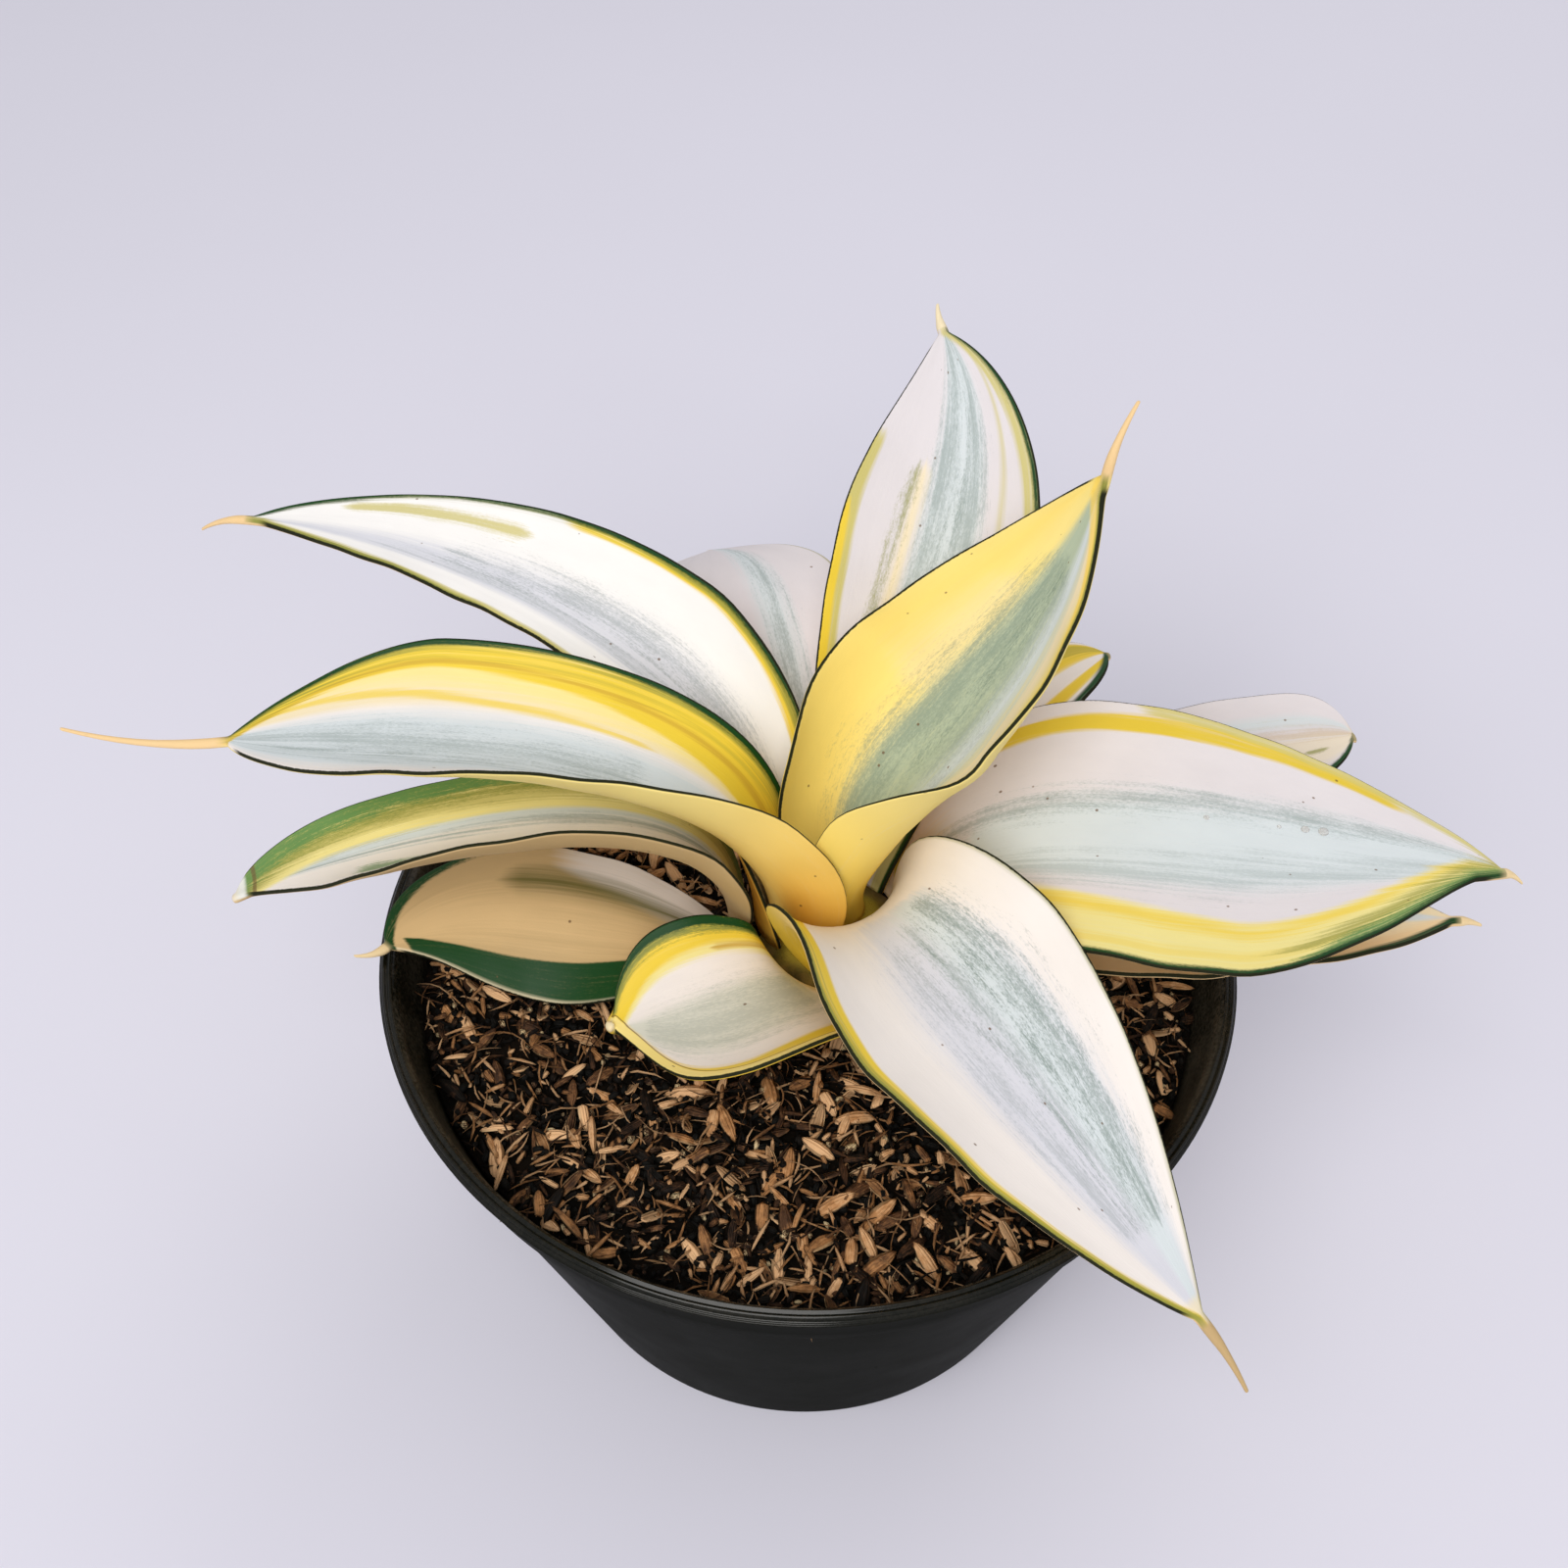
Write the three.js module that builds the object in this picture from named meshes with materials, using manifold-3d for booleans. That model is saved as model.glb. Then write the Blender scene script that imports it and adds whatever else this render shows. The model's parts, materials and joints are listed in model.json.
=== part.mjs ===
// A potted splash rose snake plant: a round plastic nursery pot, dark potting mix strewn with rice
// husks, the plant's short crown, and thirteen broad variegated leaves that clasp each other round it.
// Millimetres, +Z up. The origin is the middle of the pot's underside.

import * as THREE from 'three';
import { mergeVertices } from 'three/addons/utils/BufferGeometryUtils.js';
import Module from 'manifold-3d';

// Clear gap between neighbouring pieces
const GAP = 0.3;

// Pot: a thin moulded wall that widens evenly, a collar under the rim and a foot ring
const POT_HEIGHT = 85;
const RIM_RADIUS = 75;
const RIM_WIDTH = 2.6;
const RIM_ROUND = 0.6;
const LIP_HEIGHT = 2.4;
const LIP_OVERHANG = 0.8;
const COLLAR_HEIGHT = 12;
const COLLAR_STEP = 1;
const FOOT_RADIUS = 50;
const FOOT_ROUND = 2;
const WALL = 1.6;
const WALL_TOP_RADIUS = 70.6;
const POT_SIDES = 56;
const FLOOR_TOP = 3.2;
const CHANNEL_HEIGHT = 1.5;
const CHANNEL_INNER = 21;
const CHANNEL_OUTER = 43;
const DRAIN_COUNT = 8;
const DRAIN_RADIUS = 4;
const DRAIN_RING = 32;
const DRAIN_SIDES = 10;
const DRAIN_CUT = 12;

// Potting mix, with husks strewn over it
const SOIL_EDGE_HEIGHT = 74;
const SOIL_MIDDLE_HEIGHT = 76;
const SOIL_SLUMP = 4;
const SOIL_RINGS = [0.8, 0.5];
const SOIL_SIDES = 40;
const HUSK_COUNT = 150;
const HUSK_SIZE = [5, 1.9, 1.6];
const HUSK_SIZE_RANGE = [0.8, 1.2];
const HUSK_ROLL = 0.9;
const HUSK_TILT = 0.7;
const HUSK_SPACING = 7;
const HUSK_EDGE = 7;
const HUSK_LIFT = 0.6;
const HUSK_TRIES = 20000;
const HUSK_SEED = 41;

// Crown: the short corky stem that carries the leaves, standing in a plain hole in the mix
const CROWN = { x: 4, y: 7 };
const CROWN_RADIUS = 20;
const CROWN_BOTTOM = 62;
const CROWN_FOOT_RADIUS = 14;
const CROWN_FOOT_HEIGHT = 4;
const CROWN_SHOULDER_RADIUS = 17;
const CROWN_NECK_RADIUS = 10;
const CROWN_NECK_RISE = 1.2;
const CROWN_TOP = 80;
const CROWN_TIP_RADIUS = 3;
const CROWN_SIDES = 28;

// Leaves: each blade is lofted through sections along its midrib
const BLADE_STEPS = 15;
const END_CROWDING = 0.08;
const BLADE_COLUMNS = 7;
const BASE_THICKNESS = 2.6;
const BLADE_THICKNESS = 2;
const MARGIN_THICKNESS = 0.8;
const MARGIN_POWER = 2.2;
const TIP_THINNING = 0.2;
const FOOT_BLEND = 0.35;
const TIP_HALF_WIDTH = 0.9;
const SPINE_STEPS = 4;
const SPINE_END_RADIUS = 0.4;

// Every leaf: root is its foot on the crown (bearing in degrees, distance from the crown's axis and
// height). third and twoThirds are points on its midrib, tip is where the blade ends, and spine is the
// end of its hard point, where it has one. left and right are the half-widths seen from the root: at the
// foot, at the widest place, where that is along the blade, and two powers that shape the tip.
// cup is the half angle of the section's arc at the foot, a quarter, half and the whole way along.
// turn rolls the section about the midrib at the foot, half and the whole way along. Both in degrees.
const LEAVES = [
  {
    name: 'leaf_heart_right',
    colour: 0xf1d770,
    root: [15, 5, 82],
    third: [15, 12.5, 107.4],
    twoThirds: [33, 22.6, 133],
    tip: [45, 29, 164],
    spine: [49, 34, 174],
    left: [7, 27, 0.35, 1.5, 0.85],
    right: [7, 26.9, 0.32, 2.4, 1.75],
    cup: [122, 135, 68, 25],
    turn: [0, 0, 0],
  },
  {
    name: 'leaf_heart_left',
    colour: 0xf1cf4e,
    root: [190, 9.5, 80],
    third: [-20, 7, 112],
    twoThirds: [-54, 7, 124.6],
    tip: [-97, 7, 122],
    spine: [-125, 9, 122],
    left: [12, 23, 0.21, 2.8, 0.74],
    right: [10, 17.8, 0.7, 1.55, 0.84],
    cup: [70, 84, 58, 25],
    turn: [0, 2, 0],
  },
  {
    name: 'leaf_back_upright',
    colour: 0xefe3df,
    root: [72, 11, 80],
    third: [14, 32, 112],
    twoThirds: [23, 51, 140],
    tip: [21, 74, 160],
    spine: [20, 77, 163],
    left: [3, 18.2, 0.63, 1.96, 0.84],
    right: [9.6, 19.6, 0.54, 1.7, 0.9],
    cup: [45, 48, 28, 20],
    turn: [0, 0, 0],
  },
  {
    name: 'leaf_back_left_long',
    colour: 0xf2ece8,
    root: [150, 13, 79],
    third: [-23.2, 26.4, 111],
    twoThirds: [-62, 50, 121],
    tip: [-107, 67, 120],
    spine: [-117, 69, 116],
    left: [15, 6.2, 0.6, 2.3, 0.95],
    right: [3, 22.2, 0.38, 1.5, 0.78],
    cup: [48, 55, 38, 25],
    turn: [0, 0, 0],
  },
  {
    name: 'leaf_back_left_short',
    colour: 0xefe6e2,
    root: [110, 16, 78],
    third: [-9, 34, 103],
    twoThirds: [-16, 56, 111],
    tip: [-21, 78, 105],
    left: [8, 19, 0.55, 2.2, 0.8],
    right: [9, 22, 0.6, 3, 0.7],
    cup: [32, 30, 20, 5],
    turn: [0, 0, 0],
  },
  {
    name: 'leaf_front_right',
    colour: 0xeeeae9,
    root: [-60, 12.3, 79.3],
    third: [16.4, -17.3, 101.2],
    twoThirds: [39.5, -50, 98.8],
    tip: [60, -75, 88],
    spine: [66, -83, 83],
    left: [13, 23, 0.38, 1.55, 0.98],
    right: [9, 26.6, 0.4, 1.5, 0.95],
    cup: [62, 70, 38, 20],
    turn: [0, 0, 0],
  },
  {
    name: 'leaf_right',
    colour: 0xe9dfce,
    root: [0, 15, 78.5],
    third: [37.3, 3, 102.4],
    twoThirds: [74.5, -4.7, 109.8],
    tip: [115, -3, 108],
    spine: [118, -4, 107],
    left: [11, 29.8, 0.38, 1.85, 0.72],
    right: [5, 25, 0.6, 1.65, 2],
    cup: [35, 24, 20, 15],
    turn: [9, 4, 0],
  },
  {
    name: 'leaf_low_left',
    colour: 0xd9cfa8,
    root: [188, 17, 78.5],
    third: [-23.7, 4.8, 105],
    twoThirds: [-53.5, 2, 110],
    tip: [-98, -5, 96],
    left: [3, 22, 0.5, 1.5, 1.25],
    right: [6, 9.5, 0.72, 2.3, 0.6],
    cup: [30, 50, 48, 32],
    turn: [0, 4, 0],
  },
  {
    name: 'leaf_resting_left',
    colour: 0xd2ab7c,
    root: [202, 20, 77.5],
    third: [-31, 0, 84],
    twoThirds: [-54, 1, 86.3],
    tip: [-73, -8, 87],
    spine: [-78, -10, 87],
    left: [8, 15.9, 0.44, 2.1, 0.82],
    right: [8, 13.8, 0.61, 2.2, 0.82],
    cup: [20, 5, -15, -10],
    turn: [0, -18, -10],
  },
  {
    name: 'leaf_front_small',
    colour: 0xe7dcb4,
    root: [245, 16.3, 77.8],
    third: [-10, -17.2, 90.4],
    twoThirds: [-25, -20.9, 86.5],
    tip: [-33, -22, 85],
    left: [14, 26, 0.5, 1.6, 1.5],
    right: [4, 15.5, 0.6, 2.6, 0.8],
    cup: [30, 44, 42, 34],
    turn: [0, 0, 0],
  },
  {
    name: 'leaf_under_right',
    colour: 0xf0d9a8,
    root: [-14, 19, 77.5],
    third: [42, -2, 90],
    twoThirds: [77, -4, 95],
    tip: [112, -1, 93],
    spine: [116, -1, 92],
    left: [7, 17, 0.45, 1.8, 1],
    right: [8, 17, 0.45, 1.8, 1],
    cup: [25, 50, 50, 35],
    turn: [0, 6, 0],
  },
  {
    name: 'leaf_back_right',
    colour: 0xe6dac6,
    root: [18, 20, 77.5],
    third: [46, 28, 89],
    twoThirds: [74, 37, 93],
    tip: [101, 41, 95],
    left: [5, 12, 0.8, 4, 0.6],
    right: [6, 13, 0.7, 3, 0.7],
    cup: [20, 25, 20, 15],
    turn: [0, 0, 0],
  },
  {
    name: 'leaf_back_right_short',
    colour: 0xe8df9c,
    root: [52, 18, 77.5],
    third: [26, 28, 93],
    twoThirds: [41, 41, 102],
    tip: [55, 53, 103],
    left: [6, 10, 0.6, 3, 0.7],
    right: [4.5, 8, 0.5, 3, 0.7],
    cup: [25, 35, 30, 25],
    turn: [0, 0, 0],
  },
];

// A small repeatable random generator
function seededRandom(seed) {
  let state = seed;
  return () => {
    state = (state * 1664525 + 1013904223) % 4294967296;
    return state / 4294967296;
  };
}

const wasm = await Module();
wasm.setup();

// Turns a closed geometry into a solid for joining and cutting
function toSolid(geometry) {
  const bare = geometry.clone();
  bare.deleteAttribute('normal');
  bare.deleteAttribute('uv');
  const merged = mergeVertices(bare, 1e-4);
  return new wasm.Manifold(new wasm.Mesh({
    numProp: 3,
    vertProperties: new Float32Array(merged.attributes.position.array),
    triVerts: new Uint32Array(merged.index.array),
  }));
}

// Turns a solid back into a geometry
function fromSolid(solid) {
  const { vertProperties, triVerts } = solid.getMesh();
  const geometry = new THREE.BufferGeometry();
  geometry.setAttribute('position', new THREE.BufferAttribute(vertProperties, 3));
  geometry.setIndex(new THREE.BufferAttribute(triVerts, 1));
  geometry.computeVertexNormals();
  return geometry;
}

// Spins a profile of [radius, height] points round the Z axis
function lathe(profile, sides) {
  const points = profile.map(([radius, height]) => new THREE.Vector2(radius, height));
  const geometry = new THREE.LatheGeometry(points, sides);
  geometry.rotateX(Math.PI / 2);
  return geometry;
}

function namedMesh(name, geometry, colour, roughness) {
  const material = new THREE.MeshStandardMaterial({ color: colour, roughness, metalness: 0 });
  const mesh = new THREE.Mesh(geometry, material);
  mesh.name = name;
  return mesh;
}

// Outer radius of the tapering wall below the collar
function wallRadius(height) {
  const wallTop = POT_HEIGHT - COLLAR_HEIGHT - COLLAR_STEP;
  return FOOT_RADIUS + (WALL_TOP_RADIUS - FOOT_RADIUS) * height / wallTop;
}

// Radius of the pot's inside, which runs straight from the floor to the rim
function insideRadius(height) {
  const low = wallRadius(FLOOR_TOP) - WALL;
  const high = RIM_RADIUS - RIM_WIDTH;
  return low + (high - low) * (height - FLOOR_TOP) / (POT_HEIGHT - FLOOR_TOP);
}

function makePot() {
  const lipBottom = POT_HEIGHT - LIP_HEIGHT;
  const collarBottom = POT_HEIGHT - COLLAR_HEIGHT;
  const stepBottom = collarBottom - COLLAR_STEP;
  const profile = [
    [0, 0],
    [CHANNEL_INNER - 1, 0],
    [CHANNEL_INNER, CHANNEL_HEIGHT],
    [CHANNEL_OUTER, CHANNEL_HEIGHT],
    [CHANNEL_OUTER + 1, 0],
    [FOOT_RADIUS - FOOT_ROUND / 2, 0],
    [wallRadius(FOOT_ROUND), FOOT_ROUND],
    [wallRadius(stepBottom), stepBottom],
    [wallRadius(collarBottom) + COLLAR_STEP, collarBottom],
    [RIM_RADIUS - LIP_OVERHANG, lipBottom],
    [RIM_RADIUS, lipBottom + RIM_ROUND],
    [RIM_RADIUS, POT_HEIGHT - RIM_ROUND],
    [RIM_RADIUS - RIM_ROUND, POT_HEIGHT],
    [RIM_RADIUS - RIM_WIDTH + RIM_ROUND, POT_HEIGHT],
    [RIM_RADIUS - RIM_WIDTH, POT_HEIGHT - RIM_ROUND],
    [insideRadius(FLOOR_TOP + FOOT_ROUND), FLOOR_TOP + FOOT_ROUND],
    [insideRadius(FLOOR_TOP) - FOOT_ROUND, FLOOR_TOP],
    [0, FLOOR_TOP],
  ];
  let pot = toSolid(lathe(profile, POT_SIDES));
  for (let i = 0; i < DRAIN_COUNT; i += 1) {
    const angle = (i + 0.5) * 2 * Math.PI / DRAIN_COUNT;
    const hole = new THREE.CylinderGeometry(DRAIN_RADIUS, DRAIN_RADIUS, DRAIN_CUT, DRAIN_SIDES);
    hole.rotateX(Math.PI / 2);
    hole.translate(DRAIN_RING * Math.cos(angle), DRAIN_RING * Math.sin(angle), 0);
    pot = pot.subtract(toSolid(hole));
  }
  return namedMesh('pot', fromSolid(pot), 0x26292a, 0.42);
}

// Height of the mix's surface at a distance from the pot's axis
function soilHeight(radius) {
  const share = Math.min(radius / insideRadius(SOIL_EDGE_HEIGHT), 1);
  return SOIL_MIDDLE_HEIGHT + (SOIL_EDGE_HEIGHT - SOIL_MIDDLE_HEIGHT) * share ** SOIL_SLUMP;
}

// Places for the husks: drawn over the surface, kept apart, off the crown and off the pot's wall
function huskPlaces(random) {
  const reach = insideRadius(SOIL_EDGE_HEIGHT) - HUSK_EDGE;
  const clear = CROWN_RADIUS + HUSK_EDGE;
  const places = [];
  for (let tries = 0; tries < HUSK_TRIES && places.length < HUSK_COUNT; tries += 1) {
    const radius = reach * Math.sqrt(random());
    const angle = 2 * Math.PI * random();
    const x = radius * Math.cos(angle);
    const y = radius * Math.sin(angle);
    const offCrown = Math.hypot(x - CROWN.x, y - CROWN.y) > clear;
    const apart = places.every((place) => Math.hypot(x - place.x, y - place.y) > HUSK_SPACING);
    if (offCrown && apart) places.push({ x, y, radius });
  }
  return places;
}

function makeSoil() {
  const edge = insideRadius(SOIL_EDGE_HEIGHT) - GAP;
  const floor = FLOOR_TOP + GAP;
  const profile = [
    [0, floor],
    [insideRadius(floor) - FOOT_ROUND - 1, floor],
    [insideRadius(floor + FOOT_ROUND) - 2 * GAP, floor + FOOT_ROUND],
    [edge, SOIL_EDGE_HEIGHT],
    ...SOIL_RINGS.map((share) => [edge * share, soilHeight(edge * share)]),
    [0, SOIL_MIDDLE_HEIGHT],
  ];
  let soil = toSolid(lathe(profile, SOIL_SIDES));
  const hole = new THREE.CylinderGeometry(CROWN_RADIUS + GAP, CROWN_RADIUS + GAP, POT_HEIGHT, CROWN_SIDES);
  hole.rotateX(Math.PI / 2);
  hole.translate(CROWN.x, CROWN.y, CROWN_BOTTOM - GAP + POT_HEIGHT / 2);
  soil = soil.subtract(toSolid(hole));

  const random = seededRandom(HUSK_SEED);
  const turn = new THREE.Euler();
  const placing = new THREE.Matrix4();
  for (const { x, y, radius } of huskPlaces(random)) {
    const size = THREE.MathUtils.lerp(...HUSK_SIZE_RANGE, random());
    const roll = HUSK_ROLL * (random() - 0.5);
    const tilt = HUSK_TILT * (random() - 0.5);
    turn.set(roll, tilt, 2 * Math.PI * random(), 'ZYX');
    placing.makeRotationFromEuler(turn);
    placing.scale(new THREE.Vector3(...HUSK_SIZE).multiplyScalar(size));
    placing.setPosition(x, y, soilHeight(radius) + HUSK_LIFT);
    soil = soil.add(toSolid(new THREE.OctahedronGeometry(1, 0).applyMatrix4(placing)));
  }
  return namedMesh('soil', fromSolid(soil), 0x3a2a20, 0.95);
}

function makeCrown() {
  const profile = [
    [0, CROWN_BOTTOM],
    [CROWN_FOOT_RADIUS, CROWN_BOTTOM],
    [CROWN_RADIUS, CROWN_BOTTOM + CROWN_FOOT_HEIGHT],
    [CROWN_RADIUS, SOIL_MIDDLE_HEIGHT - 1],
    [CROWN_SHOULDER_RADIUS, SOIL_MIDDLE_HEIGHT],
    [CROWN_NECK_RADIUS, SOIL_MIDDLE_HEIGHT + CROWN_NECK_RISE],
    [CROWN_TIP_RADIUS, CROWN_TOP],
    [0, CROWN_TOP],
  ];
  const geometry = lathe(profile, CROWN_SIDES);
  geometry.translate(CROWN.x, CROWN.y, 0);
  return namedMesh('crown', fromSolid(toSolid(geometry)), 0x8a7040, 0.8);
}

// Smooth step from 0 to 1
const ease = (t) => {
  const s = THREE.MathUtils.clamp(t, 0, 1);
  return s * s * (3 - 2 * s);
};

// Smooth course through values given at the foot, half and the whole way along
function alongThree([foot, half, end], u) {
  return foot + (half - foot) * ease(2 * u) + (end - half) * ease(2 * u - 1);
}

// Course through values given at the foot, a quarter, half and the whole way along
function alongFour([foot, quarter, half, end], u) {
  const first = foot + (quarter - foot) * THREE.MathUtils.clamp(4 * u, 0, 1);
  return first + (half - quarter) * ease(4 * u - 1) + (end - half) * ease(2 * u - 1);
}

// Half-width of one side of a blade
function halfWidth([foot, widest, widestAt, fullness, closing], u) {
  if (u < widestAt) return foot + (widest - foot) * Math.sin(Math.PI / 2 * u / widestAt);
  const past = (u - widestAt) / (1 - widestAt);
  return widest * (1 - past ** fullness) ** closing;
}

const vector = (point) => new THREE.Vector3(...point);

// Midrib of a leaf: a cubic curve through its root, its two inner points and its tip
function midrib(leaf) {
  const [bearing, distance, height] = leaf.root;
  const angle = THREE.MathUtils.degToRad(bearing);
  const foot = new THREE.Vector3(
    CROWN.x + distance * Math.cos(angle),
    CROWN.y + distance * Math.sin(angle),
    height,
  );
  const [third, twoThirds, tip] = [leaf.third, leaf.twoThirds, leaf.tip].map(vector);
  const inner = (a, b, c, d) => foot.clone().multiplyScalar(a / 6).addScaledVector(third, b / 6)
    .addScaledVector(twoThirds, c / 6).addScaledVector(tip, d / 6);
  const curve = new THREE.CubicBezierCurve3(foot, inner(-5, 18, -9, 2), inner(2, -9, 18, -5), tip);
  curve.arcLengthDivisions = 400;
  const footSide = new THREE.Vector3(-Math.sin(angle), Math.cos(angle), 0);
  const run = tip.clone().sub(foot).setZ(0).normalize();
  return { curve, footSide, bladeSide: new THREE.Vector3(-run.y, run.x, 0) };
}

// Point, side and upward directions of a blade's section at u along it
function sectionFrame({ curve, footSide, bladeSide }, leaf, u) {
  const tangent = curve.getTangentAt(u);
  const side = footSide.clone().lerp(bladeSide, ease(u / FOOT_BLEND));
  side.addScaledVector(tangent, -side.dot(tangent)).normalize();
  const up = tangent.clone().cross(side);
  const roll = THREE.MathUtils.degToRad(alongThree(leaf.turn, u));
  return {
    point: curve.getPointAt(u),
    side: side.clone().multiplyScalar(Math.cos(roll)).addScaledVector(up, Math.sin(roll)),
    up: up.clone().multiplyScalar(Math.cos(roll)).addScaledVector(side, -Math.sin(roll)),
    tangent,
  };
}

// One closed section of a blade: the upper face from right to left, then the lower face back
function bladeSection(rib, leaf, u) {
  const { point, side, up } = sectionFrame(rib, leaf, u);
  const left = Math.max(halfWidth(leaf.left, u), TIP_HALF_WIDTH);
  const right = Math.max(halfWidth(leaf.right, u), TIP_HALF_WIDTH);
  const bend = THREE.MathUtils.degToRad(alongFour(leaf.cup, u)) / ((left + right) / 2);
  const towardTip = 1 - TIP_THINNING * ease(3 * u - 2);
  const middle = THREE.MathUtils.lerp(BASE_THICKNESS, BLADE_THICKNESS, ease(2 * u)) * towardTip;
  const upper = [];
  const lower = [];
  for (let i = 0; i < BLADE_COLUMNS; i += 1) {
    const across = -1 + 2 * i / (BLADE_COLUMNS - 1);
    const angle = bend * across * (across > 0 ? left : right);
    const fullness = 1 - Math.abs(across) ** MARGIN_POWER;
    const thickness = MARGIN_THICKNESS + (middle - MARGIN_THICKNESS) * fullness;
    const middlePoint = point.clone().addScaledVector(side, Math.sin(angle) / bend)
      .addScaledVector(up, (1 - Math.cos(angle)) / bend);
    const normal = up.clone().multiplyScalar(Math.cos(angle)).addScaledVector(side, -Math.sin(angle));
    upper.push(middlePoint.clone().addScaledVector(normal, thickness / 2));
    lower.unshift(middlePoint.addScaledVector(normal, -thickness / 2));
  }
  return [...upper, ...lower];
}

// Round sections of the hard point, in step with the blade's sections
function spineSections(rib, leaf) {
  const { point, side, up, tangent } = sectionFrame(rib, leaf, 1);
  const end = vector(leaf.spine);
  const bow = point.clone().addScaledVector(tangent, point.distanceTo(end) / 2);
  const curve = new THREE.QuadraticBezierCurve3(point, bow, end);
  const count = 2 * BLADE_COLUMNS;
  const sections = [];
  for (let step = 1; step <= SPINE_STEPS; step += 1) {
    const t = step / SPINE_STEPS;
    const radius = THREE.MathUtils.lerp(TIP_HALF_WIDTH, SPINE_END_RADIUS, t);
    const centre = curve.getPoint(t);
    const section = [];
    for (let i = 0; i < count; i += 1) {
      const angle = Math.PI - 2 * Math.PI * (i + 0.5) / count;
      const across = centre.clone().addScaledVector(side, radius * Math.cos(angle));
      section.push(across.addScaledVector(up, radius * Math.sin(angle)));
    }
    sections.push(section);
  }
  return sections;
}

// Skins equal closed sections into one solid, both faces split into triangles alike, and caps its ends
function loft(sections) {
  const count = sections[0].length;
  const half = count / 2;
  const positions = sections.flat().flatMap((point) => point.toArray());
  const index = [];
  for (let ring = 0; ring < sections.length - 1; ring += 1) {
    for (let i = 0; i < count; i += 1) {
      const next = (i + 1) % count;
      const a = ring * count + i;
      const b = ring * count + next;
      const c = a + count;
      const d = b + count;
      if (i < half) index.push(a, d, b, a, c, d);
      else index.push(a, c, b, b, c, d);
    }
  }
  const last = (sections.length - 1) * count;
  for (let i = 0; i < half - 1; i += 1) {
    const [a, b, c, d] = [i, i + 1, count - 1 - i, count - 2 - i];
    index.push(a, b, c, b, d, c);
    index.push(last + a, last + c, last + b, last + b, last + c, last + d);
  }
  const geometry = new THREE.BufferGeometry();
  geometry.setAttribute('position', new THREE.Float32BufferAttribute(positions, 3));
  geometry.setIndex(index);
  geometry.computeVertexNormals();
  return geometry;
}

function makeLeaf(leaf) {
  const rib = midrib(leaf);
  const sections = [];
  for (let step = 0; step <= BLADE_STEPS; step += 1) {
    const even = step / BLADE_STEPS;
    const u = even - END_CROWDING * Math.sin(2 * Math.PI * even);
    sections.push(bladeSection(rib, leaf, THREE.MathUtils.clamp(u, 0, 1)));
  }
  if (leaf.spine) sections.push(...spineSections(rib, leaf));
  return namedMesh(leaf.name, loft(sections), leaf.colour, 0.5);
}

const plant = new THREE.Group();
plant.add(makePot(), makeSoil(), makeCrown());
for (const leaf of LEAVES) plant.add(makeLeaf(leaf));

export default plant;
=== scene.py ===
"""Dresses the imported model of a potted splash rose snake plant.

Thirteen variegated leaves, the round nursery pot, the potting mix strewn with rice husks and the short
crown are modelled and finished here. Sizes are in millimetres until a mesh is made, in the same frame
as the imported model: +Z up, the origin at the middle of the pot's underside.
"""

import sys
import json
import logging
import math
import random
from dataclasses import dataclass, field
from enum import Enum
from typing import Any, Sequence

import bmesh
import bpy
import numpy as np
from mathutils import Matrix, Vector, noise

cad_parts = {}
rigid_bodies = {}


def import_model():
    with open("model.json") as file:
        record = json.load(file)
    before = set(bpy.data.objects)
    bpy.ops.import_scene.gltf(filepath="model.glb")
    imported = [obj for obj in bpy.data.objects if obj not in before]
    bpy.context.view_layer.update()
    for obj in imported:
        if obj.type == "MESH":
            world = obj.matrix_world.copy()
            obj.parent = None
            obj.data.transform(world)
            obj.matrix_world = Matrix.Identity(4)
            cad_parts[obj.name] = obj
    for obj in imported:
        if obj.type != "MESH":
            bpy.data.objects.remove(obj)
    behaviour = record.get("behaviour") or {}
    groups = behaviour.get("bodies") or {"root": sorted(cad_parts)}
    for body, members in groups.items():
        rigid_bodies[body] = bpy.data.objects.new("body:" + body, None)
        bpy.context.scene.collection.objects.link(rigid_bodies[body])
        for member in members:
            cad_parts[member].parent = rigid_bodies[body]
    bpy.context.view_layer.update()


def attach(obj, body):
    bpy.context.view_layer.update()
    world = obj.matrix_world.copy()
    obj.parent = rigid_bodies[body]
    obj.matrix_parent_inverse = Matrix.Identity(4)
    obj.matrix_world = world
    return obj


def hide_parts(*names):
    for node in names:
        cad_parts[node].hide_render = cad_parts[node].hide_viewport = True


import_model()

log = logging.getLogger("snake_plant")

MM = 0.001
BODY = "root"
CROWN_CENTRE = (4.0, 7.0)


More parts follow.
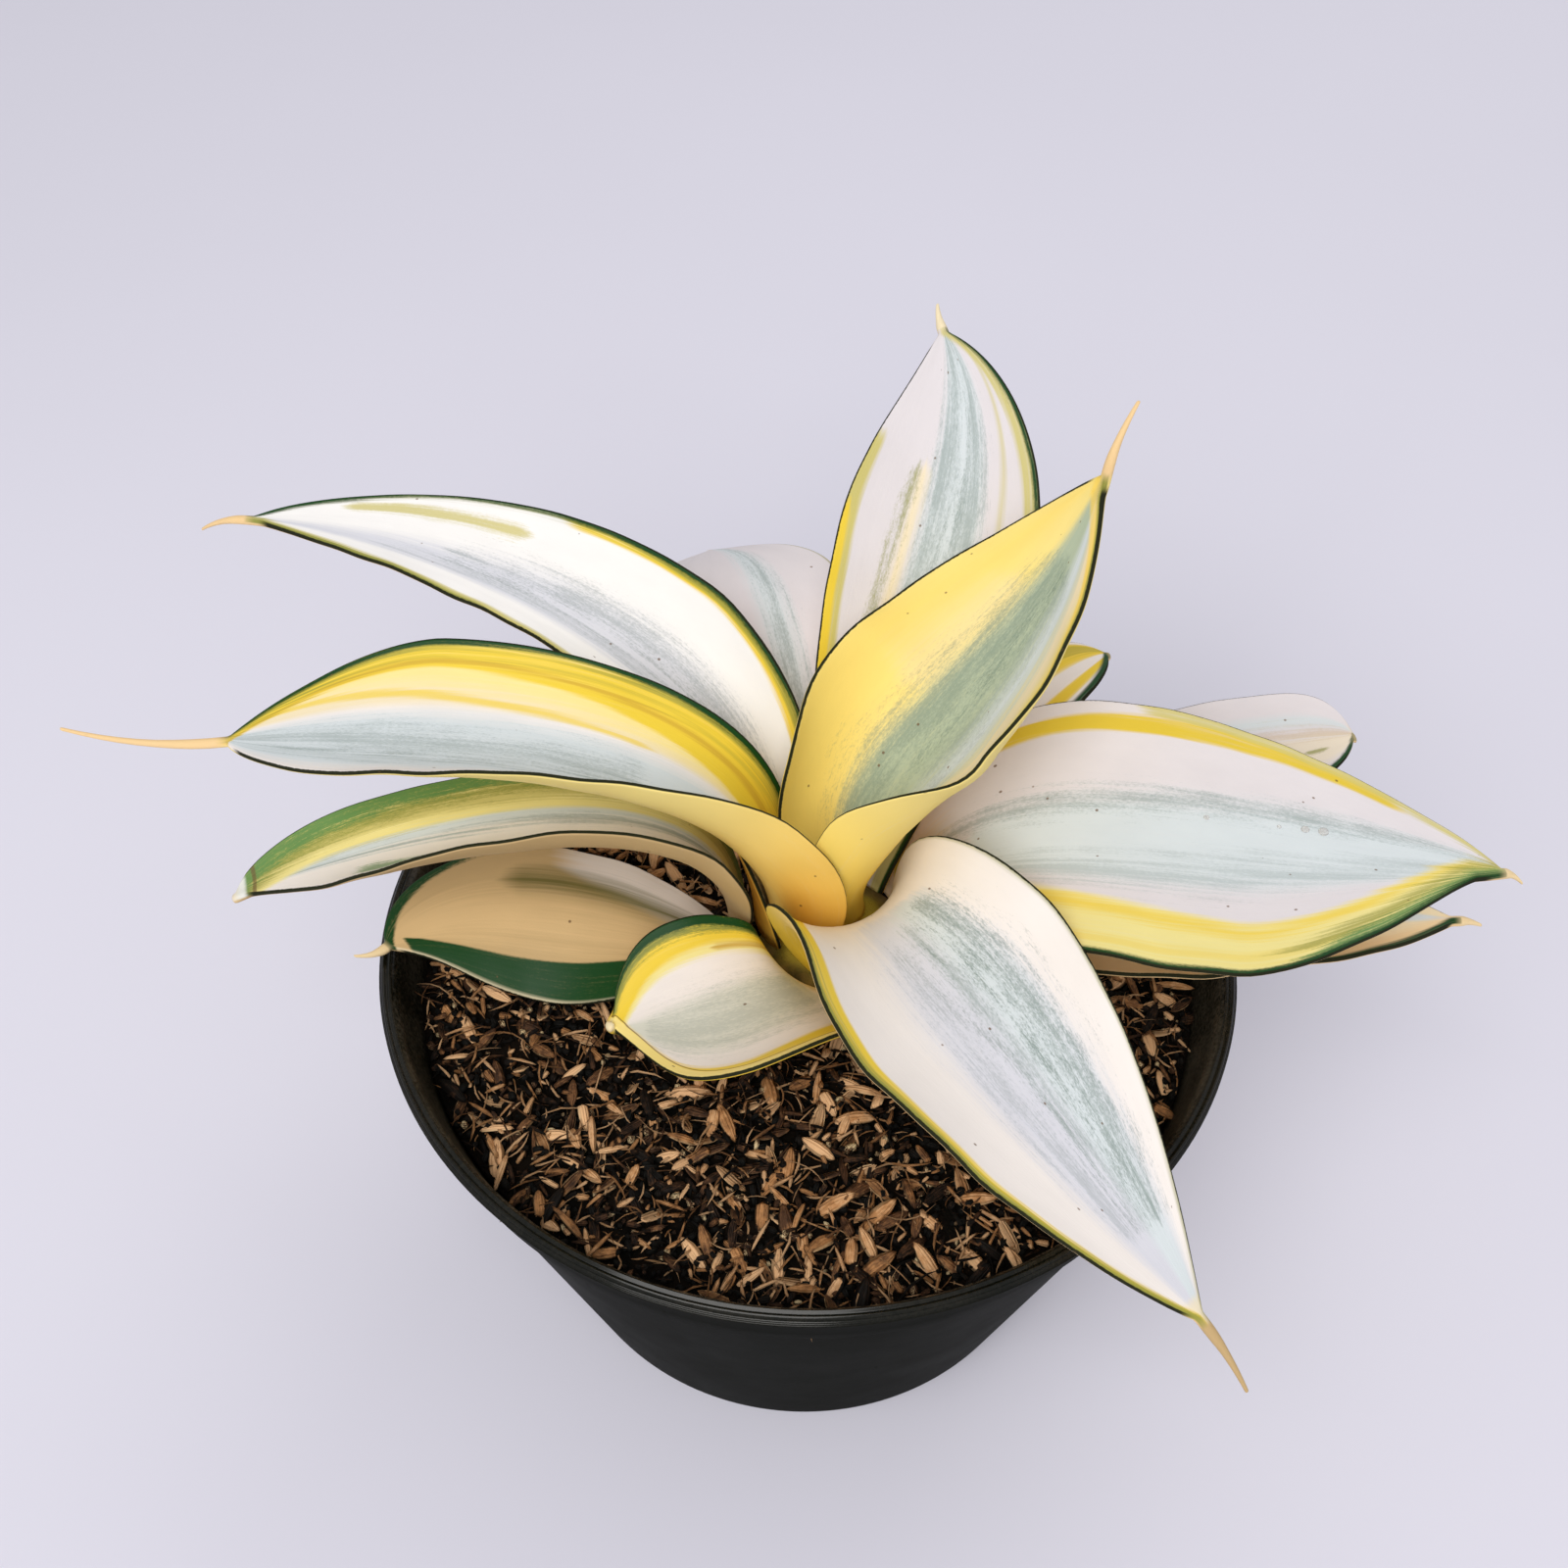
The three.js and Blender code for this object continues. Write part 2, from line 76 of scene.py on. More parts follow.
class Paint(Enum):
    """Colours of the plant, its pot and the mix, as sRGB hex values."""

    SNOW = "f6f4f1"
    BLUSH = "f1eae4"
    # Painted shade: a white dimmed to the shade that the leaves it grounds stand in.
    PEARL_IN_SHADE = "e0dadc"
    CREAM = "f2e2bc"
    BUTTER = "fae48c"
    LEMON = "f1e394"
    YELLOW = "efcf3c"
    SUN = "ffd850"
    GOLD = "dfc23a"
    OCHRE = "c79c34"
    OLIVE = "8f9140"
    MOSS = "625c28"
    ICE = "d6dee0"
    LAVENDER = "d3d5df"
    SAGE = "b3c0a6"
    SLATE = "64796f"
    GREEN = "5b8a4c"
    FOREST = "0b4013"
    MARGIN = "20230f"
    KHAKI = "cdc274"
    PEACH = "f2cf97"
    TAN = "c6a876"
    AMBER = "f5c04a"
    STRAW = "ecd3a2"
    BARK = "6d4f30"
    HUSK_PALE = "ecbd8c"
    HUSK = "b98453"
    HUSK_DARK = "5a3d28"
    LOAM = "150f0a"
    LOAM_DARK = "0a0906"
    RESIN = "0c0e08"
    DUST = "7d7464"
    WALL = "e3e2ee"
    DAYLIGHT = "f0eff4"

    @property
    def linear(self) -> tuple[float, float, float, float]:
        """Scene-linear colour.

        Returns:
            Red, green, blue and a full alpha.
        """
        values = [int(self.value[i:i + 2], 16) / 255 for i in (0, 2, 4)]
        red, green, blue = (v / 12.92 if v <= 0.04045 else ((v + 0.055) / 1.055) ** 2.4 for v in values)
        return (red, green, blue, 1.0)


class Tree:
    """A node tree under construction, for a material or for Geometry Nodes."""

    def __init__(self, tree: bpy.types.NodeTree) -> None:
        """Takes over an empty node tree, to which nodes are added."""
        self.tree = tree

    @staticmethod
    def _pick(sockets: Any, key: int | str) -> bpy.types.NodeSocket:
        """Finds a socket.

        Args:
            sockets: a node's inputs or outputs.
            key: index, identifier or name of the socket.

        Returns:
            The socket.
        """
        if isinstance(key, int):
            return sockets[key]
        for socket in sockets:
            if socket.identifier == key:
                return socket
        return sockets[key]

    def node(
        self,
        kind: str,
        settings: dict[str, Any] | None = None,
        sockets: dict[int | str, Any] | None = None,
        output: int | str = 0,
    ) -> "Signal":
        """Adds one node.

        Args:
            kind: the node's type name.
            settings: its properties, set first. "stops" gives a colour ramp's (position, paint) pairs.
            sockets: values, paints or signals for its inputs, by index, identifier or name.
            output: the output that is wanted, given in the same way.

        Returns:
            The wanted output.
        """
        made = self.tree.nodes.new(kind)
        for name, value in (settings or {}).items():
            if name == "stops":
                self._set_stops(made.color_ramp, value)
            else:
                setattr(made, name, value)
        for key, value in (sockets or {}).items():
            socket = self._pick(made.inputs, key)
            if isinstance(value, Signal):
                self.tree.links.new(value.socket, socket)
            elif isinstance(value, Paint):
                socket.default_value = value.linear
            else:
                socket.default_value = value
        return Signal(self, self._pick(made.outputs, output) if len(made.outputs) else None, made)

    @staticmethod
    def _set_stops(ramp: bpy.types.ColorRamp, stops: Sequence[tuple[float, Paint]]) -> None:
        """Gives a colour ramp its stops.

        Args:
            ramp: the ramp.
            stops: (position, paint) pairs in rising order.
        """
        while len(ramp.elements) > 1:
            ramp.elements.remove(ramp.elements[-1])
        for i, (position, paint) in enumerate(stops):
            element = ramp.elements[0] if i == 0 else ramp.elements.new(position)
            element.position = position
            element.color = paint.linear

    def blend(self, share: Any, first: Any, second: Any, mode: str = "MIX") -> "Signal":
        """Mixes two colours.

        Args:
            share: 0 for the first, 1 for the second.
            first: a colour signal or paint.
            second: a colour signal or paint.
            mode: the Mix node's blend type.

        Returns:
            The mixed colour.
        """
        return self.node(
            "ShaderNodeMix",
            {"data_type": "RGBA", "blend_type": mode, "clamp_factor": True},
            {"Factor_Float": share, "A_Color": first, "B_Color": second},
            "Result_Color",
        )

    def step(self, value: Any, low: float, high: float) -> "Signal":
        """Smooth step of a value.

        Args:
            value: the signal.
            low: where the result is 0.
            high: where the result is 1, above low.

        Returns:
            The result, from 0 to 1.
        """
        return self.node(
            "ShaderNodeMapRange",
            {"interpolation_type": "SMOOTHSTEP"},
            {"Value": value, "From Min": low, "From Max": high},
        )

    def vector(self, x: Any, y: Any, z: Any) -> "Signal":
        """Joins three values into a vector."""
        return self.node("ShaderNodeCombineXYZ", None, {0: x, 1: y, 2: z})

    def grey(self, value: Any) -> "Signal":
        """A colour whose red, green and blue are one value."""
        return self.node("ShaderNodeCombineColor", None, {0: value, 1: value, 2: value})

    def parts(self, vector: "Signal") -> tuple["Signal", "Signal", "Signal"]:
        """Splits a vector into its three values."""
        split = self.node("ShaderNodeSeparateXYZ", None, {0: vector})
        return tuple(Signal(self, socket, split.owner) for socket in split.owner.outputs)

    def grain(self, place: "Signal", scale: float, detail: float = 2.0, roughness: float = 0.5) -> "Signal":
        """Noise from 0 to 1.

        Args:
            place: coordinates of the noise.
            scale: features per unit of the coordinates.
            detail: octaves.
            roughness: strength of the finer octaves.

        Returns:
            The noise, which is about 0.5 on average.
        """
        return self.node(
            "ShaderNodeTexNoise",
            None,
            {"Vector": place, "Scale": scale, "Detail": detail, "Roughness": roughness},
        )


class Signal:
    """One output of a node. Python's operators on it add Math nodes."""

    def __init__(self, tree: Tree, socket: Any, owner: bpy.types.Node) -> None:
        """Wraps an output.

        Args:
            tree: the tree under construction.
            socket: the output socket, or None for a node without outputs.
            owner: the node.
        """
        self.tree = tree
        self.socket = socket
        self.owner = owner

    def _math(self, operation: str, *values: Any) -> "Signal":
        """Adds a Math node on the values, in order."""
        return self.tree.node("ShaderNodeMath", {"operation": operation}, dict(enumerate(values)))

    def __add__(self, other: Any) -> "Signal":
        """Sum."""
        return self._math("ADD", self, other)

    def __radd__(self, other: Any) -> "Signal":
        """Sum with a number first."""
        return self._math("ADD", other, self)

    def __sub__(self, other: Any) -> "Signal":
        """Difference."""
        return self._math("SUBTRACT", self, other)

    def __rsub__(self, other: Any) -> "Signal":
        """Difference with a number first."""
        return self._math("SUBTRACT", other, self)

    def __mul__(self, other: Any) -> "Signal":
        """Product."""
        return self._math("MULTIPLY", self, other)

    def __rmul__(self, other: Any) -> "Signal":
        """Product with a number first."""
        return self._math("MULTIPLY", other, self)

    def __truediv__(self, other: Any) -> "Signal":
        """Quotient."""
        return self._math("DIVIDE", self, other)

    def __pow__(self, other: Any) -> "Signal":
        """Power."""
        return self._math("POWER", self, other)

    def __abs__(self) -> "Signal":
        """Size without sign."""
        return self._math("ABSOLUTE", self)

    def lesser(self, other: Any) -> "Signal":
        """The smaller of two values."""
        return self._math("MINIMUM", self, other)

    def clamped(self) -> "Signal":
        """The value kept between 0 and 1."""
        return self.tree.node("ShaderNodeClamp", None, {"Value": self})


class Surface(Tree):
    """A material under construction, with one Principled shader."""

    def __init__(self, name: str) -> None:
        """Starts a material.

        Args:
            name: its name.
        """
        self.material = bpy.data.materials.new(name)
        self.material.use_nodes = True
        self.material.node_tree.nodes.clear()
        super().__init__(self.material.node_tree)

    def place(self) -> Signal:
        """Object coordinates, in millimetres."""
        metres = self.node("ShaderNodeTexCoord", None, None, "Object")
        return self.node("ShaderNodeVectorMath", {"operation": "SCALE"}, {0: metres, "Scale": 1 / MM})

    def attribute(self, name: str, output: str = "Vector") -> Signal:
        """A mesh attribute, as a vector unless another output is named."""
        return self.node("ShaderNodeAttribute", {"attribute_name": name}, None, output)

    def bump(self, height: Signal, depth: float) -> Signal:
        """A normal bent by a height, where a height of 1 stands for so many millimetres of depth."""
        return self.node("ShaderNodeBump", None, {"Strength": 1.0, "Distance": depth * MM, "Height": height})

    def close(self, sockets: dict[int | str, Any]) -> bpy.types.Material:
        """Ends the material in a Principled shader.

        Args:
            sockets: the shader's inputs.

        Returns:
            The finished material.
        """
        shader = self.node("ShaderNodeBsdfPrincipled", None, sockets)
        self.node("ShaderNodeOutputMaterial", None, {"Surface": shader})
        return self.material


def ease(t: np.ndarray) -> np.ndarray:
    """Smooth step from 0 to 1."""
    s = np.clip(t, 0, 1)
    return s * s * (3 - 2 * s)


def course_of_three(values: Sequence[float], u: np.ndarray) -> np.ndarray:
    """Smooth course through values given at the foot, half and the whole way along."""
    foot, half, end = values
    return foot + (half - foot) * ease(2 * u) + (end - half) * ease(2 * u - 1)


def course_of_four(values: Sequence[float], u: np.ndarray) -> np.ndarray:
    """Course through values given at the foot, a quarter, half and the whole way along.

    Args:
        values: the four values.
        u: shares of the way along.

    Returns:
        The value at each share.
    """
    foot, quarter, half, end = values
    first = foot + (quarter - foot) * np.clip(4 * u, 0, 1)
    return first + (half - quarter) * ease(4 * u - 1) + (end - half) * ease(2 * u - 1)


def make_object(name: str, mesh: bpy.types.Mesh, material: bpy.types.Material) -> bpy.types.Object:
    """Links a mesh to the scene as an object with one material.

    Args:
        name: the object's name.
        mesh: its mesh, in metres.
        material: its material.

    Returns:
        The object.
    """
    mesh.materials.clear()
    mesh.materials.append(material)
    mesh.shade_smooth()
    made = bpy.data.objects.new(name, mesh)
    bpy.context.scene.collection.objects.link(made)
    return made


def make_mesh(name: str, points: np.ndarray, faces: Sequence[Sequence[int]]) -> bpy.types.Mesh:
    """Builds a mesh.

    Args:
        name: its name.
        points: corner points in millimetres.
        faces: corner numbers of each face.

    Returns:
        The mesh, in metres.
    """
    mesh = bpy.data.meshes.new(name)
    mesh.from_pydata((points * MM).tolist(), [], [list(face) for face in faces])
    mesh.validate()
    return mesh


def tube(rings: int, count: int) -> list[tuple[int, ...]]:
    """Faces of a closed tube whose two end points are numbered after its rings.

    Args:
        rings: how many rings it has.
        count: points in each ring.

    Returns:
        Corner numbers of each face.
    """
    faces: list[tuple[int, ...]] = []
    for ring in range(rings - 1):
        for i in range(count):
            a, b = ring * count + i, ring * count + (i + 1) % count
            faces.append((a, a + count, b + count, b))
    foot, end, start = rings * count, rings * count + 1, (rings - 1) * count
    for i in range(count):
        after = (i + 1) % count
        faces.append((foot, i, after))
        faces.append((end, start + after, start + i))
    return faces


def mark(mesh: bpy.types.Mesh, name: str, values: np.ndarray) -> None:
    """Writes one number or vector for each point to a mesh, as a named attribute."""
    kind, key = ("FLOAT", "value") if values.ndim == 1 else ("FLOAT_VECTOR", "vector")
    mesh.attributes.new(name, kind, "POINT").data.foreach_set(key, values.astype(np.float32).ravel())


def hand_over(piece: bpy.types.Object, slot: str, *nodes: str) -> None:
    """Attaches a finished piece to the plant's body, hides the CAD nodes that it stands for, and logs its
    triangles.

    Args:
        piece: the piece.
        slot: not used.
        nodes: the CAD nodes that it stands for.
    """
    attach(piece, BODY)
    if nodes:
        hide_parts(*nodes)
    piece.data.calc_loop_triangles()
    log.info("%s: %d triangles", piece.name, len(piece.data.loop_triangles))


@dataclass(frozen=True)
class LeafForm:
    """Shape of one leaf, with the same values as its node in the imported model.

    root is its foot on the crown (bearing in degrees, distance from the crown's axis and height). third
    and two_thirds are points on the midrib, tip is where the blade ends, and spine is the end of its hard
    point. left and right are half-widths seen from the root: at the foot, at the widest place, where that
    is, and two powers that shape the tip. cup is the half angle of the section's arc at the foot, a
    quarter, half and the whole way along. turn rolls the section at the foot, half and the whole way.
    """

    root: tuple[float, float, float]
    third: tuple[float, float, float]
    two_thirds: tuple[float, float, float]
    tip: tuple[float, float, float]
    spine: tuple[float, float, float] | None
    left: tuple[float, float, float, float, float]
    right: tuple[float, float, float, float, float]
    cup: tuple[float, float, float, float]
    turn: tuple[float, float, float] = (0, 0, 0)


class LeafSheet:
    """The curved sheet in the middle of a leaf's thickness."""

    FOOT_THICKNESS = 2.6
    BLADE_THICKNESS = 2.0
    MARGIN_THICKNESS = 0.8
    MARGIN_POWER = 2.2
    TIP_THINNING = 0.2
    TIP_HALF_WIDTH = 0.9
    FOOT_BLEND = 0.35

    def __init__(self, form: LeafForm) -> None:
        """Works out the midrib.

        Args:
            form: the leaf's shape.
        """
        self.form = form
        bearing, distance, height = form.root
        angle = math.radians(bearing)
        outward = np.array([math.cos(angle), math.sin(angle), 0.0])
        foot = np.array([*CROWN_CENTRE, height]) + distance * outward
        third, two_thirds, tip = (np.array(p, float) for p in (form.third, form.two_thirds, form.tip))
        self.controls = (
            foot,
            (-5 * foot + 18 * third - 9 * two_thirds + 2 * tip) / 6,
            (2 * foot - 9 * third + 18 * two_thirds - 5 * tip) / 6,
            tip,
        )
        self.foot_side = np.array([-outward[1], outward[0], 0.0])
        run = (tip - foot) * (1, 1, 0)
        run /= np.linalg.norm(run)
        self.blade_side = np.array([-run[1], run[0], 0.0])
        self._t = np.linspace(0, 1, 401)
        chords = np.linalg.norm(np.diff(self._curve(self._t), axis=0), axis=1)
        self._run = np.concatenate([[0], np.cumsum(chords)])
        self.length = float(self._run[-1])

    def _curve(self, t: np.ndarray) -> np.ndarray:
        """Points of the midrib.

        Args:
            t: curve parameters from 0 to 1.

        Returns:
            One point for each parameter.
        """
        a, b, c, d = self.controls
        t = t[:, None]
        return (1 - t) ** 3 * a + 3 * (1 - t) ** 2 * t * b + 3 * (1 - t) * t ** 2 * c + t ** 3 * d

    def frames(self, u: np.ndarray) -> tuple[np.ndarray, np.ndarray, np.ndarray, np.ndarray]:
        """Section frames.

        Args:
            u: shares of the midrib's length.

        Returns:
            Points, sides, upward directions and tangents, one row for each share.
        """
        t = np.interp(u * self.length, self._run, self._t)
        nudge = 1e-4
        tangent = self._curve(np.minimum(t + nudge, 1)) - self._curve(np.maximum(t - nudge, 0))
        tangent /= np.linalg.norm(tangent, axis=1)[:, None]
        share = ease(u / self.FOOT_BLEND)[:, None]
        side = (1 - share) * self.foot_side + share * self.blade_side
        side -= np.sum(side * tangent, axis=1)[:, None] * tangent
        side /= np.linalg.norm(side, axis=1)[:, None]
        up = np.cross(tangent, side)
        roll = np.radians(course_of_three(self.form.turn, u))[:, None]
        cos, sin = np.cos(roll), np.sin(roll)
        return self._curve(t), cos * side + sin * up, cos * up - sin * side, tangent

    def half_width(self, shape: Sequence[float], u: np.ndarray) -> np.ndarray:
        """Half-width of one side of the blade.

        Args:
            shape: the side's five values.
            u: shares of the midrib's length.

        Returns:
            Half-widths in millimetres.
        """
        foot, widest, widest_at, fullness, closing = shape
        before = foot + (widest - foot) * np.sin(np.pi / 2 * np.minimum(u / widest_at, 1))
        past = np.clip((u - widest_at) / (1 - widest_at), 0, 1)
        after = widest * (1 - past ** fullness) ** closing
        return np.maximum(np.where(u < widest_at, before, after), self.TIP_HALF_WIDTH)

    def middle_thickness(self, u: np.ndarray) -> np.ndarray:
        """Thickness at the midrib."""
        middle = self.FOOT_THICKNESS + (self.BLADE_THICKNESS - self.FOOT_THICKNESS) * ease(2 * u)
        return middle * (1 - self.TIP_THINNING * ease(3 * u - 2))

    def thickness(self, across: np.ndarray, u: np.ndarray) -> np.ndarray:
        """Thickness at places on the blade.

        Args:
            across: places from -1 to 1, one row for each share.
            u: shares of the midrib's length.

        Returns:
            Thickness at each place, in millimetres.
        """
        middle = self.middle_thickness(u)[:, None]
        fullness = 1 - np.abs(across) ** self.MARGIN_POWER
        return self.MARGIN_THICKNESS + (middle - self.MARGIN_THICKNESS) * fullness

    def points(self, u: np.ndarray, across: np.ndarray, lift: np.ndarray) -> np.ndarray:
        """Points off the sheet.

        Args:
            u: shares of the midrib's length.
            across: places from -1 at the right margin to 1 at the left, one row for each share.
            lift: distance from the sheet towards its upper side.

        Returns:
            Points, shaped rows by columns by 3.
        """
        centre, side, up, _ = self.frames(u)
        left = self.half_width(self.form.left, u)
        right = self.half_width(self.form.right, u)
        bend = (np.radians(course_of_four(self.form.cup, u)) / ((left + right) / 2))[:, None]
        angle = bend * across * np.where(across > 0, left[:, None], right[:, None])
        radius = 1 / bend - lift
        sideways = radius * np.sin(angle)
        upward = 1 / bend - radius * np.cos(angle)
        return centre[:, None] + sideways[..., None] * side[:, None] + upward[..., None] * up[:, None]


class Measure(Enum):
    """What a stripe's place and width are measured by."""

    ACROSS = "share of the half-width, -1 at the right margin and 1 at the left"
    FROM_LEFT = "millimetres from the left margin"
    FROM_RIGHT = "millimetres from the right margin"


@dataclass(frozen=True)
class Course:
    """A value that changes smoothly from the foot of a leaf over its middle to its tip."""

    foot: float
    middle: float
    tip: float

    def at(self, along: Signal) -> Signal | float:
        """The value at a place along the leaf.

        Args:
            along: share of the leaf's length.

        Returns:
            A number where the course is steady, and otherwise a signal.
        """
        if self.foot == self.middle == self.tip:
            return self.foot
        bow = 2 * (self.foot + self.tip) - 4 * self.middle
        slope = self.tip - self.foot - bow
        return (along * bow + slope) * along + self.foot


def steady(value: float) -> Course:
    """A course that doesn't change."""
    return Course(value, value, value)


@dataclass(frozen=True)
class Stripe:
    """A lengthwise band of colour.

    softness is how wide its edge fades, in the stripe's own measure. streaks and flecks say how far fine
    lengthwise lines and short flecks break it up. start and end limit it along the leaf, each over fade.
    """

    paint: Paint
    centre: Course
    half_width: Course
    measure: Measure = Measure.ACROSS
    softness: float = 0.08
    strength: float = 1.0
    streaks: float = 0.3
    flecks: float = 0.0
    start: float = -1.0
    end: float = 2.0
    fade: float = 0.12


class LeafSurface(Surface):
    """A leaf's material under construction, with the leaf's own coordinates and the noises over them."""

    def __init__(self, name: str, half_width: float, seed: int) -> None:
        """Starts the material, reads the coordinates and makes the noises.

        Args:
            name: the material's name.
            half_width: widest half-width of the leaf, in millimetres.
            seed: sets the leaf apart from the others.
        """
        super().__init__(name)
        self.across, self.along, self.side = self.parts(self.attribute("blade"))
        self.left_gap, self.right_gap, self.run = self.parts(self.attribute("gaps"))
        self.cross = self.across * half_width
        self.drift = self._drawn_out(self.across * 1.5, 0.02, seed + 3.7, scale=1.0)
        self.streak = self._drawn_out(self.cross, 0.022, seed, scale=1.1, detail=4.0, roughness=0.68)
        self.fleck = self._drawn_out(self.cross, 0.36, seed + 9.1, scale=3.6, detail=3.0, roughness=0.75)
        self.blot = self._drawn_out(self.cross * 0.5, 0.12, seed + 5.3, scale=0.9, roughness=0.6)
        self.mottle = self.grain(self.vector(self.cross, self.run * 0.5, seed), scale=0.22, detail=3.0)

    def _drawn_out(self, across: Signal, share: float, place: float, **texture: float) -> Signal:
        """Noise about zero, drawn out along the leaf, where it sees only a share of the length.

        Args:
            across: its coordinate across the leaf.
            share: share of the length that it sees.
            place: its third coordinate, which sets it apart from other noises.
            texture: the noise's scale, detail and roughness.

        Returns:
            The noise, from -0.5 to 0.5.
        """
        return self.grain(self.vector(across, self.run * share, place), **texture) - 0.5


@dataclass(frozen=True)
class LeafFinish:
    """Colours of one leaf.

    ground lies under the stripes of the upper side. under, under_foot and under_stripe are the underside's
    colours towards the tip, at the foot and along the keel. rim is the thin line along the margins, and
    point the colour of the hard point. specks is the strength of the small dark spots.
    """

    ground: Paint
    stripes: tuple[Stripe, ...]
    # Painted shade: the peach underside stands for shade and warm bounce light on undersides that are nearly
    # the upper side's colour.
    under: Paint = Paint.PEACH
    under_foot: Paint = Paint.AMBER
    under_stripe: Paint = Paint.TAN
    rim: Paint = Paint.MARGIN
    rim_width: float = 0.22
    point: Paint = Paint.STRAW
    specks: float = 0.8
    seed: int = 0

    ACROSS_DRIFT = 0.08
    GAP_DRIFT = 1.2
    STREAK_GAIN = 3.0
    FLECK_GAIN = 2.8
    BLOT_SHARE = 0.6
    END_GAIN = 3.0
    UNDER_FADE = (0.02, 0.45)
    UNDERSIDE = (-0.35, 0.25)
    KEEL = (0.25, 0.6)
    KEEL_SHARE = 0.55
    FIBRE = (0.05, 0.35)
    FIBRE_SHARE = 0.3
    RIM_SIDE = (-0.75, -0.45)
    RIM_END = (0.965, 0.985)
    POINT_START = (0.985, 1.015)
    SPECK_SCALE = 0.16
    SPECK_RADIUS = (0.03, 0.055)
    SHADE_SHARE = 0.8
    RELIEF = 0.06

    def _upper(self, s: LeafSurface) -> Any:
        """Colour of the upper side.

        Args:
            s: the leaf's material under construction.

        Returns:
            The ground with its stripes laid over it in order.
        """
        places = {
            Measure.ACROSS: s.across + s.drift * self.ACROSS_DRIFT,
            Measure.FROM_LEFT: s.left_gap + s.drift * self.GAP_DRIFT,
            Measure.FROM_RIGHT: s.right_gap + s.drift * self.GAP_DRIFT,
        }
        along = s.along
        speckle = s.fleck + s.blot * self.BLOT_SHARE
        colour: Any = self.ground
        for stripe in self.stripes:
            off = abs(places[stripe.measure] - stripe.centre.at(along))
            mask = ((stripe.half_width.at(along) - off) / stripe.softness + 0.5).lesser(1.0)
            mask = mask + s.streak * (stripe.streaks * self.STREAK_GAIN)
            mask = mask + speckle * (stripe.flecks * self.FLECK_GAIN)
            if stripe.start > Stripe.start:
                opening = s.step(along, stripe.start, stripe.start + stripe.fade)
                mask = mask - (1 - opening) * self.END_GAIN
            if stripe.end < Stripe.end:
                mask = mask - s.step(along, stripe.end - stripe.fade, stripe.end) * self.END_GAIN
            colour = s.blend(s.step(mask, 0.0, 1.0) * stripe.strength, colour, stripe.paint)
        return colour

    def _lower(self, s: LeafSurface) -> Signal:
        """Colour of the underside.

        Args:
            s: the leaf's material under construction.

        Returns:
            The colour, with a darker keel and pale fibres.
        """
        colour = s.blend(s.step(s.along, *self.UNDER_FADE), self.under_foot, self.under)
        keel = 1 - s.step(abs(s.across) + s.drift * 0.2 + s.streak * 0.3, *self.KEEL)
        colour = s.blend(keel * self.KEEL_SHARE, colour, self.under_stripe)
        fibres = s.step(s.streak + s.fleck * 0.4, *self.FIBRE)
        return s.blend(fibres * self.FIBRE_SHARE, colour, Paint.CREAM)

    def _rim_line(self, s: LeafSurface) -> Signal:
        """Mask of the thin line along the margins, which stops short of the tip.

        Args:
            s: the leaf's material under construction.

        Returns:
            1 on the line and 0 off it.
        """
        edge = s.left_gap.lesser(s.right_gap) + s.fleck * 0.3
        line = 1 - s.step(edge, self.rim_width * 0.55, self.rim_width * 1.25)
        return line * s.step(s.side, *self.RIM_SIDE) * (1 - s.step(s.along, *self.RIM_END))

    def _specks(self, s: LeafSurface) -> Signal:
        """Mask of the small dark spots.

        Args:
            s: the leaf's material under construction.

        Returns:
            Strength of the spots.
        """
        place = s.vector(s.cross, s.run, s.side * 3 + self.seed)
        spot = s.node(
            "ShaderNodeTexVoronoi",
            {"feature": "F1"},
            {"Vector": place, "Scale": self.SPECK_SCALE, "Randomness": 1.0},
            "Distance",
        )
        return (1 - s.step(spot, *self.SPECK_RADIUS)) * self.specks

    def make(self, name: str, half_width: float) -> bpy.types.Material:
        """Builds the material.

        Args:
            name: the material's name.
            half_width: widest half-width of the leaf, in millimetres.

        Returns:
            The material.
        """
        s = LeafSurface(name, half_width, self.seed)
        below = 1 - s.step(s.side, *self.UNDERSIDE)
        line = self._rim_line(s)
        colour = s.blend(below, self._upper(s), self._lower(s))
        colour = s.blend(line, colour, self.rim)
        colour = s.blend(s.step(s.along, *self.POINT_START), colour, self.point)
        colour = s.blend(self._specks(s), colour, Paint.BARK)
        shade = s.grey(0.93 + 0.12 * s.mottle)
        return s.close({
            "Base Color": s.blend(self.SHADE_SHARE, colour, shade, "MULTIPLY"),
            "Roughness": 0.42 + 0.16 * s.mottle + 0.2 * s.streak + 0.4 * line,
            "Specular IOR Level": 0.25,
            "Normal": s.bump(s.streak * 0.5 + s.fleck * 0.4, self.RELIEF),
        })


